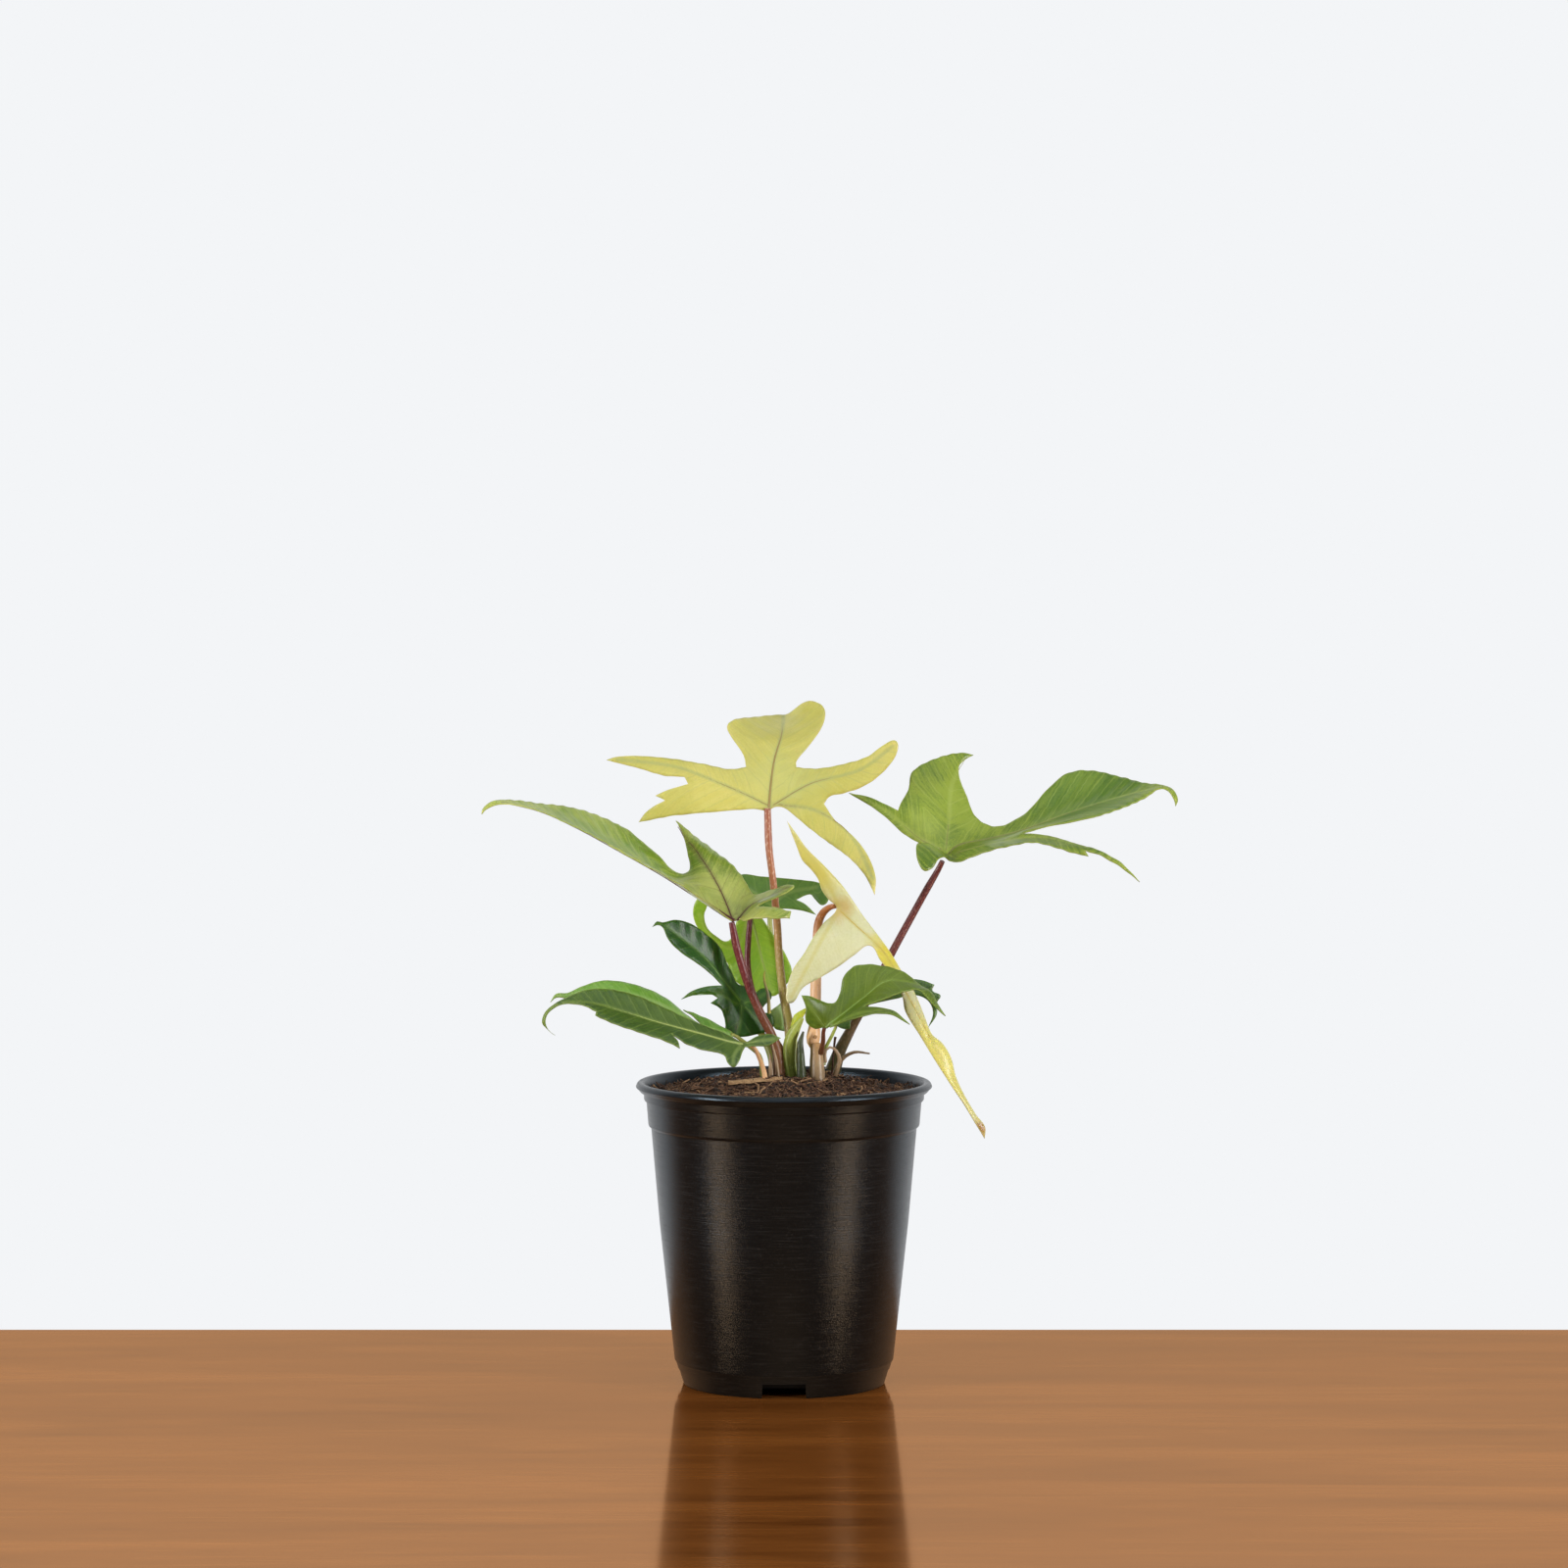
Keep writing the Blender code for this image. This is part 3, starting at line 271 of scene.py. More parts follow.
for quarter in range(4):
    made = bmesh.ops.create_cube(cutter_bm, size=1.0)["verts"]
    bmesh.ops.scale(cutter_bm, vec=Vector((17, 15.5, 7.5)) * MM, verts=made)
    low_edge = [vert for vert in made if vert.co.z < 0]
    bmesh.ops.scale(cutter_bm, vec=(1, 1.06, 1), verts=low_edge)
    bmesh.ops.translate(cutter_bm, vec=Vector((37.5, 0, 1.75)) * MM, verts=made)
    bmesh.ops.rotate(cutter_bm, cent=(0, 0, 0), matrix=Matrix.Rotation(math.pi / 2 * quarter, 3, "Z"),
                     verts=made)
cutter = mesh_object("slot_cutter", cutter_bm, pot_material, smooth=False)
cut = pot.modifiers.new("slots", "BOOLEAN")
cut.object = cutter
cut.solver = "EXACT"
finished = bpy.data.meshes.new_from_object(pot.evaluated_get(bpy.context.evaluated_depsgraph_get()))
pot.modifiers.clear()
pot.data = finished
bpy.data.objects.remove(cutter, do_unlink=True)
finished.shade_smooth()
finished.set_sharp_from_angle(angle=math.radians(32))
declare(pot, "pot_plastic", "nursery_pot")

# ---------------------------------------------------------------------------
# Potting mix. Damp coir and composted bark, pressed into a low mound, with
# loose fibres, crumbs and orange-brown bark chips on the top.
# ---------------------------------------------------------------------------

random.seed(11)
MIX_RADIUS = 50.4
MIX_EDGE_HEIGHT = 108.2
MIX_CROWN_HEIGHT = 114.2


def mix_height(x, y):
    """The mound in millimetres, with its lumps: highest at the crowns, lowest at the back left."""
    share = min(math.hypot(x, y) / 50.0, 1.0)
    mound = MIX_EDGE_HEIGHT + (MIX_CROWN_HEIGHT - MIX_EDGE_HEIGHT) * (0.5 + 0.5 * math.cos(math.pi * share))
    lumps = noise.noise(Vector((x, y, 0)) * 0.14) * 1.1 + noise.noise(Vector((x, y, 7)) * 0.45) * 0.7
    hollow = 1.6 * math.exp(-((x + 33) ** 2 + (y - 28) ** 2) / 220)
    hollow += 1.2 * math.exp(-((x - 36) ** 2 + (y - 26) ** 2) / 160)
    return mound + lumps * min(1.0, 2.6 - 2.2 * share) - hollow


def open_group(name, inputs, outputs):
    """An empty shader node group with float inputs and outputs, and its two end nodes' sockets."""
    group = bpy.data.node_groups.new(name, "ShaderNodeTree")
    for label, value in inputs:
        group.interface.new_socket(label, in_out="INPUT",
                                   socket_type="NodeSocketFloat").default_value = value
    for label in outputs:
        group.interface.new_socket(label, in_out="OUTPUT", socket_type="NodeSocketFloat")
    return group, group.nodes.new("NodeGroupInput").outputs, group.nodes.new("NodeGroupOutput").inputs


def fibre_grain():
    """The grain of coir and bark: coarse patches with a fine grain over them."""
    group, given, result = open_group("fibre_grain", [("Scale", 300.0)], ["Light Share", "Height"])
    where = add_node(group, "ShaderNodeTexCoord").outputs["Object"]
    patches = add_node(group, "ShaderNodeTexNoise",
                       {"Vector": where, "Scale": given["Scale"], "Detail": 5.0,
                                                     "Roughness": 0.7})
    finer = add_node(group, "ShaderNodeMath", {0: given["Scale"], 1: 9.0}, operation="MULTIPLY")
    grains = add_node(group, "ShaderNodeTexNoise", {"Vector": where, "Scale": finer.outputs[0],
                                                    "Detail": 3.0})
    both = add_node(group, "ShaderNodeMath", {0: patches.outputs[0], 1: grains.outputs[0]}, operation="ADD")
    share = add_node(group, "ShaderNodeMapRange", {"Value": both.outputs[0], "From Min": 0.72,
                                                   "From Max": 1.28})
    group.links.new(share.outputs[0], result["Light Share"])
    group.links.new(grains.outputs[0], result["Height"])
    return group


FIBRE_GRAIN = fibre_grain()


def coir_material(name, dark, light, scale):
    """Dry plant fibre or bark: grainy brown, from dark to light, quite matt."""
    made, tree, shader = fit_nodes(name)
    grain = add_node(tree, "ShaderNodeGroup", node_tree=FIBRE_GRAIN)
    grain.inputs["Scale"].default_value = scale
    tone = add_node(tree, "ShaderNodeMix", {"Factor": grain.outputs["Light Share"], "A": dark, "B": light},
                    data_type="RGBA")
    tree.links.new(tone.outputs["Result"], shader.inputs["Base Color"])
    bump = add_node(tree, "ShaderNodeBump", {"Height": grain.outputs["Height"], "Strength": 0.7,
                                             "Distance": 0.0006})
    tree.links.new(bump.outputs[0], shader.inputs["Normal"])
    shader.inputs["Roughness"].default_value = 0.88
    return made


bm = bmesh.new()
bmesh.ops.create_grid(bm, x_segments=170, y_segments=170, size=MIX_RADIUS * MM * 1.02)
beyond = [vert for vert in bm.verts if vert.co.length > MIX_RADIUS * MM]
bmesh.ops.delete(bm, geom=beyond, context="VERTS")
for vert in bm.verts:
    rough = noise.noise(vert.co * 1700) * 0.55 + noise.noise(vert.co * 800) * 0.8
    vert.co.z = (mix_height(vert.co.x / MM, vert.co.y / MM) + rough) * MM
rim = [edge for edge in bm.edges if edge.is_boundary]
for depth in (98.0, 84.0):
    skirt = bmesh.ops.extrude_edge_only(bm, edges=rim)["geom"]
    for vert in (v for v in skirt if isinstance(v, bmesh.types.BMVert)):
        radius = Vector((vert.co.x, vert.co.y)).length / MM
        vert.co.x *= 47.0 / radius
        vert.co.y *= 47.0 / radius
        vert.co.z = depth * MM
    rim = [edge for edge in skirt if isinstance(edge, bmesh.types.BMEdge) and edge.is_boundary]
bmesh.ops.contextual_create(bm, geom=rim)
bmesh.ops.recalc_face_normals(bm, faces=bm.faces)
mix = mesh_object("coir_mix", bm, coir_material("damp_coir", (0.010, 0.006, 0.004, 1),
                                                (0.085, 0.042, 0.024, 1), 420.0))
declare(mix, "mix", "potting_mix")


def scatter_fibres(name, count, length, thickness, material):
    """Bent fibres strewn over the mound, each one a short tapered wire."""
    data = bpy.data.curves.new(name, "CURVE")
    data.dimensions = "3D"
    data.bevel_depth = MM
    data.bevel_resolution = 0
    data.use_fill_caps = True
    for _ in range(count):
        angle = random.uniform(0, math.tau)
        reach = math.sqrt(random.random()) * (MIX_RADIUS - 2.5)
        x, y = reach * math.cos(angle), reach * math.sin(angle)
        heading = random.uniform(0, math.tau)
        long = random.uniform(*length)
        curl = random.uniform(-0.9, 0.9)
        line = data.splines.new("POLY")
        line.points.add(4)
        girth = random.uniform(*thickness)
        tip_lift = random.random() ** 3 * 2.2
        for i in range(5):
            rise = 0.35 + girth * 0.5 + tip_lift * (i / 4) ** 2
            line.points[i].co = (x * MM, y * MM, (mix_height(x, y) + rise) * MM, 1)
            line.points[i].radius = girth * (0.5 + 0.5 * math.sin(math.pi * (0.15 + 0.7 * i / 4)))
            x += math.cos(heading) * long / 4
            y += math.sin(heading) * long / 4
            heading += curl * random.uniform(0.2, 1.0)
            if math.hypot(x, y) > MIX_RADIUS - 1.0:
                shrink = (MIX_RADIUS - 1.0) / math.hypot(x, y)
                x, y = x * shrink, y * shrink
    data.materials.append(material)
    made = put_object(name, data)
    declare(made, "mix")
    return made


def scatter_crumbs(name, count, size, material):
    """Crumbs and small chips, each a bent and squeezed cube with worn corners."""
    whole = bpy.data.meshes.new(name)
    crumbs, bm = bmesh.new(), bmesh.new()
    for number in range(count):
        angle = random.uniform(0, math.tau)
        reach = math.sqrt(random.random()) * (MIX_RADIUS - 2.0)
        x, y = reach * math.cos(angle), reach * math.sin(angle)
        made = bmesh.ops.create_icosphere(bm, subdivisions=1, radius=0.5)["verts"]
        big = random.uniform(*size)
        long_side = big * random.uniform(0.8, 1.9)
        high_side = big * random.uniform(0.4, 0.8)
        stretch = Matrix.Diagonal((long_side * MM, big * MM, high_side * MM))
        tilts = (random.uniform(-0.5, 0.5), random.uniform(-0.5, 0.5), random.uniform(0, math.tau))
        turn = Euler(tilts).to_matrix()
        spot = Vector((x, y, mix_height(x, y) + big * 0.2)) * MM
        for vert in made:
            vert.co = turn @ (stretch @ vert.co * random.uniform(0.75, 1.2)) + spot
        if number % 60 == 59 or number == count - 1:
            bm.to_mesh(whole)
            crumbs.from_mesh(whole)
            bm.clear()
    bm.free()
    made = mesh_object(name, crumbs, material, smooth=False)
    declare(made, "mix")


dark_fibre = coir_material("dark_coir_fibre", (0.012, 0.006, 0.004, 1), (0.13, 0.055, 0.028, 1), 260.0)
brown_fibre = coir_material("brown_coir_fibre", (0.06, 0.028, 0.014, 1), (0.26, 0.135, 0.070, 1), 260.0)
tan_fibre = coir_material("tan_coir_fibre", (0.20, 0.10, 0.045, 1), (0.50, 0.30, 0.15, 1), 260.0)
black_crumb = coir_material("dark_crumb", (0.006, 0.004, 0.003, 1), (0.060, 0.032, 0.020, 1), 500.0)
bark_crumb = coir_material("bark_crumb", (0.10, 0.045, 0.022, 1), (0.34, 0.17, 0.085, 1), 500.0)
scatter_crumbs("mix_crumbs", 2600, (0.8, 2.4), black_crumb)
scatter_crumbs("bark_crumbs", 420, (0.7, 2.2), bark_crumb)
scatter_fibres("dark_fibres", 1500, (3, 9), (0.14, 0.42), dark_fibre)
scatter_fibres("brown_fibres", 1100, (3, 11), (0.12, 0.40), brown_fibre)
scatter_fibres("tan_fibres", 240, (3, 12), (0.12, 0.50), tan_fibre)

# ---------------------------------------------------------------------------
# Stalks and stems. Each leaf stands on a round fleshy stalk, red with fine pale
# specks when young and green when old, that swells where it meets the blade.
# ---------------------------------------------------------------------------

# Plant points are (x, height, depth) in millimetres: x and height as seen from SIGHT
# on the upright plane through the pot's axis, depth measured back from that plane.
SIGHT = Vector((0.0, -1689.5, 297.0))
TIP = True


def place(x, z, y):
    """The point at depth y that is seen at (x, z) on the upright plane through the axis."""
    return SIGHT + (Vector((x, 0.0, z)) - SIGHT) * ((y - SIGHT.y) / -SIGHT.y)


def smooth_path(points, step, closed=False):
    """Points along a curve through the given ones, which turns sharply only at tips."""
    spots = [place(*point[:3]) for point in points]
    sharp = [len(point) > 3 for point in points]
    count = len(spots)
    path = []
    for i in range(count if closed else count - 1):
        here, there = spots[i], spots[(i + 1) % count]
        span = (there - here).length
        start = there - here
        end = there - here
        if not sharp[i] and (closed or i > 0):
            start = (there - spots[i - 1]).normalized() * span
        if not sharp[(i + 1) % count] and (closed or i < count - 2):
            end = (spots[(i + 2) % count] - here).normalized() * span
        pieces = max(1, round(span / step))
        for part in range(pieces):
            t = part / pieces
            path.append(here * (2 * t**3 - 3 * t**2 + 1) + start * (t**3 - 2 * t**2 + t)
                        + there * (3 * t**2 - 2 * t**3) + end * (t**3 - t**2))
    if not closed:
        path.append(spots[-1])
    return path


def stalk_markings():
    """How far up a stalk its colour has changed, with a wandering border, and its fine specks."""
    group, given, result = open_group("stalk_markings",
                                      [("Low", 0.12), ("High", 0.18), ("Speck Amount", 0.5)],
                                      ["Way Up", "Specks"])
    where = add_node(group, "ShaderNodeTexCoord").outputs["Object"]
    height = add_node(group, "ShaderNodeSeparateXYZ", {"Vector": where}).outputs["Z"]
    wander = add_node(group, "ShaderNodeTexNoise", {"Vector": where, "Scale": 90.0,
                                                    "Detail": 3.0}).outputs[0]
    share = add_node(group, "ShaderNodeMapRange", {"Value": height, "From Min": given["Low"],
                                                   "From Max": given["High"]})
    swing = add_node(group, "ShaderNodeMath", {0: wander, 1: 0.35, 2: -0.175}, operation="MULTIPLY_ADD")
    mixed = add_node(group, "ShaderNodeMath", {0: share.outputs[0], 1: swing.outputs[0]}, operation="ADD")
    group.links.new(mixed.outputs[0], result["Way Up"])
    squeeze = add_node(group, "ShaderNodeMapping", {"Vector": where, "Scale": (1.0, 1.0, 0.45)})
    spots = add_node(group, "ShaderNodeTexVoronoi", {"Vector": squeeze.outputs[0], "Scale": 1300.0})
    fleck = add_node(group, "ShaderNodeMapRange", {"Value": spots.outputs["Distance"], "From Min": 0.42,
                                                   "From Max": 0.12, "To Max": given["Speck Amount"]})
    group.links.new(fleck.outputs[0], result["Specks"])
    return group


STALK_MARKINGS = stalk_markings()


def stalk_material(name, top, middle, foot, low, high, speck, speck_amount=0.5):
    """A waxy skin whose colour goes from foot to top between two heights, with fine specks."""
    made, tree, shader = fit_nodes(name)
    marks = add_node(tree, "ShaderNodeGroup", node_tree=STALK_MARKINGS)
    marks.inputs["Low"].default_value = low * MM
    marks.inputs["High"].default_value = high * MM
    marks.inputs["Speck Amount"].default_value = speck_amount
    tone = add_node(tree, "ShaderNodeValToRGB", {"Fac": marks.outputs["Way Up"]})
    tone.color_ramp.elements[0].color = (*foot, 1)
    tone.color_ramp.elements[1].color = (*top, 1)
    tone.color_ramp.elements.new(0.5).color = (*middle, 1)
    skin = add_node(tree, "ShaderNodeMix", {"Factor": marks.outputs["Specks"], "A": tone.outputs[0],
                                            "B": (*speck, 1)}, data_type="RGBA")
    tree.links.new(skin.outputs["Result"], shader.inputs["Base Color"])
    bump = add_node(tree, "ShaderNodeBump", {"Height": marks.outputs["Specks"], "Strength": 0.25,
                                             "Distance": 0.0002})
    tree.links.new(bump.outputs[0], shader.inputs["Normal"])
    shader.inputs["Roughness"].default_value = 0.38
    shader.inputs["Subsurface Weight"].default_value = 0.12
    shader.inputs["Subsurface Radius"].default_value = (0.0012, 0.0008, 0.0004)
    shader.inputs["Subsurface Scale"].default_value = 1.0
    return made


def stalk(name, material, slot, points, radii, nodes=(), step=1.6, sides=4):
    """A round tapering stalk whose radius goes evenly through the given radii."""
    path = smooth_path(points, step)
    data = bpy.data.curves.new(name, "CURVE")
    data.dimensions = "3D"
    data.bevel_depth = MM
    data.bevel_resolution = sides
    data.use_fill_caps = True
    line = data.splines.new("POLY")
    line.points.add(len(path) - 1)
    line.use_smooth = True
    for i, spot in enumerate(path):
        line.points[i].co = (*(spot * MM), 1.0)
        where = i / (len(path) - 1) * (len(radii) - 1)
        low = min(int(where), len(radii) - 2)
        line.points[i].radius = radii[low] + (radii[low + 1] - radii[low]) * (where - low)
    data.materials.append(material)
    made = put_object(name, data)
    declare(made, slot, *nodes)
    return made


top_stalk_skin = stalk_material("rusty_stalk_skin", (0.30, 0.085, 0.045), (0.50, 0.20, 0.09),
                                (0.42, 0.36, 0.10), 150, 212, (0.80, 0.60, 0.42), 0.55)
red_stalk_skin = stalk_material("dark_red_stalk_skin", (0.13, 0.022, 0.028), (0.15, 0.020, 0.022),
                                (0.22, 0.10, 0.035), 120, 175, (0.42, 0.20, 0.18), 0.5)
olive_stalk_skin = stalk_material("olive_stalk_skin", (0.135, 0.028, 0.026), (0.13, 0.028, 0.024),
                                  (0.10, 0.10, 0.035), 120, 188, (0.36, 0.20, 0.15), 0.4)
coral_stalk_skin = stalk_material("coral_stalk_skin", (0.50, 0.17, 0.04), (0.86, 0.56, 0.34),
                                  (0.84, 0.50, 0.25), 132, 176, (0.92, 0.70, 0.50), 0.35)
green_stem_skin = stalk_material("green_stem_skin", (0.30, 0.33, 0.07), (0.24, 0.27, 0.05),
                                 (0.13, 0.12, 0.03), 112, 130, (0.48, 0.46, 0.20), 0.35)
brown_stem_skin = stalk_material("tan_stem_skin", (0.44, 0.25, 0.10), (0.42, 0.29, 0.15),
                                 (0.20, 0.12, 0.06), 112, 127, (0.16, 0.08, 0.04), 0.5)
pale_sheath_skin = stalk_material("yellow_green_skin", (0.42, 0.50, 0.10), (0.34, 0.42, 0.07),
                                  (0.16, 0.20, 0.03), 118, 136, (0.55, 0.60, 0.22), 0.3)
dry_sheath_skin = stalk_material("dry_sheath_skin", (0.42, 0.30, 0.19), (0.36, 0.24, 0.13),
                                 (0.16, 0.10, 0.05), 113, 126, (0.16, 0.09, 0.05), 0.6)

stalk("top_leaf_petiole", top_stalk_skin, "stalk_red",
      [(-6.1, 213.2, 4.6), (-6.0, 209.0, 4), (-5.5, 198, 3), (-3.9, 185, 3), (-2.5, 170, 4), (-1.8, 158, 4),
       (-0.2, 144, 4), (1.8, 133, 3), (2.8, 124, 2), (3.2, 114, 1)],
      [1.25, 1.4, 1.3, 1.35, 1.45, 1.5, 1.55, 1.7, 2.3, 3.0], ["top_leaf_stalk"])
stalk("left_leaf_petiole", red_stalk_skin, "stalk_red",
      [(-19.4, 171.0, -12.2), (-18.9, 168.6, -12), (-17.6, 162, -11), (-15, 153, -10), (-12, 144.5, -9),
       (-8.4, 136.5, -8), (-4.8, 129.5, -7), (-2.4, 122.6, -6), (-1.4, 113.6, -5)],
      [1.1, 1.5, 1.5, 1.55, 1.6, 1.7, 1.8, 2.1, 2.9], ["left_leaf_stalk"])
stalk("right_leaf_petiole", olive_stalk_skin, "stalk_red",
      [(58.6, 193.6, 4.6), (57.0, 190.4, 6), (53, 183.5, 6), (47.2, 173, 6), (41.2, 162, 5),
       (35.2, 150.5, 5), (29.4, 139.5, 5), (23.6, 129, 5), (20.4, 122.6, 4.8), (18.0, 115.6, 4)],
      [1.0, 1.35, 1.35, 1.4, 1.45, 1.5, 1.55, 1.65, 2.2, 3.0], ["right_leaf_stalk", "rear_crown_stem"])
stalk("cream_leaf_petiole", coral_stalk_skin, "stalk_pale",
      [(19.0, 177.0, -11.4), (17.0, 176.6, -9), (14.4, 174.4, -6.5), (12.7, 170.4, -5), (12.2, 160, -4.5),
       (11.8, 148, -4.5), (11.6, 138, -5), (11.2, 131, -5)], [0.9, 1.4, 1.7, 1.8, 1.95, 2.1, 2.1, 2.2],
      ["cream_leaf_stalk"])
stalk("middle_rear_petiole", green_stem_skin, "stem",
      [(-5.6, 176.6, 26), (-4.2, 160, 24), (-1, 145, 19), (2.6, 132, 13), (3.8, 123.4, 6.4), (3.8, 114, 5)],
      [0.9, 1.1, 1.2, 1.4, 1.8], ["middle_rear_stalk"])
stalk("hanging_petiole", red_stalk_skin, "stalk_red",
      [(-12.4, 174.0, 8.6), (-12.6, 171.4, 6.5), (-13.2, 165, 6), (-13.5, 156, 5.5), (-12.2, 147, 4.6),
       (-8.6, 136, 3.8), (-3.6, 127.5, 2), (-0.8, 122, 0), (0, 114, 0)],
      [0.9, 1.1, 1.15, 1.15, 1.2, 1.3, 1.4, 1.6, 2.2], ["hanging_stalk"])
stalk("dark_left_petiole", green_stem_skin, "stem",
      [(-15.4, 141, -2.6), (-14.2, 139.0, 2.6), (-11, 134, 3.6), (-7, 127, 2.6), (-4.4, 121, 1.6),
       (-3, 113.6, 1)],
      [0.8, 1.15, 1.2, 1.4, 1.8, 2.4], ["dark_left_stalk"])
stalk("low_left_petiole", coral_stalk_skin, "stalk_red",
      [(-13.2, 125.9, -24), (-10.8, 124.0, -21), (-9.2, 120.6, -17.5), (-7.6, 116.4, -14.8),
       (-6.6, 110.6, -14)],
      [0.5, 0.75, 0.8, 0.9, 1.1], ["low_left_stalk"])
stalk("low_left_rear_petiole", green_stem_skin, "stalk_red",
      [(-19.6, 129.4, -13.6), (-17.4, 128.4, -12), (-13, 125, -11.4), (-9.2, 121.4, -10),
       (-7.6, 112.6, -8.4)],
      [0.6, 0.75, 0.85, 0.95, 1.1], ["low_left_rear_stalk"])
stalk("front_right_petiole", red_stalk_skin, "stalk_red",
      [(15.0, 131.8, -26.6), (14.6, 130.2, -25.4), (14.5, 126.8, -20), (13.7, 122.6, -12.4)],
      [0.7, 0.85, 0.9, 1.1], ["front_right_stalk"])
stalk("rear_right_petiole", pale_sheath_skin, "stalk_pale",
      [(19.8, 134.0, -5.4), (19.0, 131.6, -4), (17.6, 128.6, -4), (15.4, 124, -4.4), (14.4, 118, -5)],
      [0.5, 0.62, 0.65, 0.8, 1.1], ["rear_right_stalk"])

stalk("left_crown", green_stem_skin, "stem", [(0.4, 100, -1), (0.2, 112, -1), (0.4, 118.6, -1)],
      [6.2, 5.8, 4.4], ["left_crown_stem"])
stalk("right_crown", brown_stem_skin, "stem",
      [(12.6, 100, -8), (12.4, 113, -8), (12.2, 118, -8), (12.0, 122.6, -7.6), (11.6, 125.8, -6.6)],
      [4.2, 3.8, 2.9, 2.6, 1.9], ["right_crown_stem"])
stalk("scar_swelling", coral_stalk_skin, "stem",
      [(11.2, 124.6, -6), (10.8, 126.4, -5.8), (10.9, 128.4, -5.6), (11.1, 130.4, -5.2), (11.3, 132.4, -5)],
      [1.6, 2.35, 2.6, 2.4, 2.1], ["leaf_scar_bud"])
stalk("leaf_scar", brown_stem_skin, "stem", [(11.6, 128.4, -8.0), (11.7, 128.3, -8.6)], [0.75, 0.35],
      step=0.4)
stalk("young_sheath", pale_sheath_skin, "leaf_bright",
      [(2.6, 113.6, -5), (2.0, 120, -6), (2.4, 127, -6.5), (4.2, 131.2, -7.5), (6.8, 135.4, -9)],
      [2.8, 2.4, 2.5, 2.0, 0.7], ["new_leaf_sheath"])
stalk("young_furled_leaf", stalk_material("fresh_leaf_skin", (0.52, 0.60, 0.05), (0.50, 0.58, 0.04),
                                          (0.38, 0.46, 0.04),
                                          130, 139, (0.62, 0.68, 0.16), 0.25), "leaf_bright",
      [(3.4, 131.6, -3.4), (5.2, 135.6, -4.2), (8.3, 138.8, -5)], [1.3, 1.8, 0.5], ["furled_leaf"])
stalk("yellow_cataphyll", stalk_material("yellow_bud_skin", (0.78, 0.70, 0.14), (0.26, 0.24, 0.15),
                                         (0.52, 0.46, 0.06),
                                         137, 152, (0.20, 0.16, 0.08), 0.3), "leaf_yellow",
      [(-5.5, 137.2, -4.6), (-5.9, 144, -4.8), (-7.2, 149, -5), (-7.3, 152.2, -5), (-6.8, 152.9, -5)],
      [0.7, 0.65, 0.5, 0.45, 0.15], ["yellow_bud_sheath"])
stalk("olive_sheath", stalk_material("dark_sheath_skin", (0.05, 0.06, 0.02), (0.045, 0.07, 0.02),
                                     (0.03, 0.04, 0.012), 114, 130, (0.16, 0.18, 0.06), 0.3), "stem",
      [(6.4, 112.4, -10), (6.2, 121, -10.6), (6.0, 126, -10), (7.2, 130.4, -10)], [2.0, 1.6, 1.3, 0.4],
      ["dark_sheath"])
stalk("peeling_strip", dry_sheath_skin, "dry_tissue",
      [(-2.1, 113.2, -11), (-2.9, 119.6, -11.2), (-4.3, 125.6, -11.6)], [0.75, 0.65, 0.2],
      ["peeling_sheath"])
stalk("old_sheath_strip", dry_sheath_skin, "dry_tissue",
      [(-4.6, 113.4, -10), (-4.9, 118.4, -10.2), (-5.2, 122, -10.4)], [1.1, 0.95, 0.2], ["old_sheath"])
stalk("dry_stub", dry_sheath_skin, "dry_tissue",
      [(18.8, 114, -1.6), (21.4, 120, -2), (26, 122.7, -3), (31.8, 122.2, -4.5)], [1.1, 0.8, 0.55, 0.3],
      ["dry_leaf_stub"])
stalk("dark_stick", dark_fibre, "bark", [(17.7, 112, -4), (18.3, 122, -3.4), (18.9, 127.6, -3),
                                         (19.1, 128.4, -3)],
      [0.4, 0.35, 0.35, 0.55], ["dark_twig"])
stalk("dry_sheath_hook", dry_sheath_skin, "dry_tissue",
      [(15.2, 119, -6), (15.4, 123.4, -6.6), (17, 124.6, -7), (19.4, 123.2, -7), (20.6, 120, -6.4),
       (19.6, 116, -6)],
      [0.8, 0.5, 0.45, 0.6, 0.8, 0.9])

bm = bmesh.new()
bmesh.ops.create_cube(bm, size=1.0)
bmesh.ops.scale(bm, vec=Vector((20, 3.6, 1.1)) * MM, verts=bm.verts)
bmesh.ops.subdivide_edges(bm, edges=bm.edges, cuts=14, use_grid_fill=True)
for vert in bm.verts:
    taper = 1.0 - 0.55 * max(vert.co.x / MM / 10.0, 0.0)
    vert.co.y *= taper
    vert.co.z += (noise.noise(vert.co * 300) * 0.5 + noise.noise(vert.co * 900) * 0.25) * MM
    vert.co.y += noise.noise(vert.co * 260 + Vector((5, 0, 0))) * 0.9 * MM
bmesh.ops.rotate(bm, cent=(0, 0, 0), matrix=Matrix.Rotation(math.radians(-5), 3, "Y"), verts=bm.verts)
bmesh.ops.translate(bm, vec=Vector((-10.5, -16.5, 114.0)) * MM, verts=bm.verts)
chip = mesh_object("long_bark_chip", bm, coir_material("split_bark", (0.24, 0.12, 0.05, 1),
                                                       (0.56, 0.36, 0.18, 1), 200.0))
declare(chip, "bark", "bark_chip")

# ---------------------------------------------------------------------------
# Leaf blades. Thin, slightly leathery blades cut into pointed lobes. Each one
# bends along its ribs, and its side veins stand as faint quilting between them.
# ---------------------------------------------------------------------------

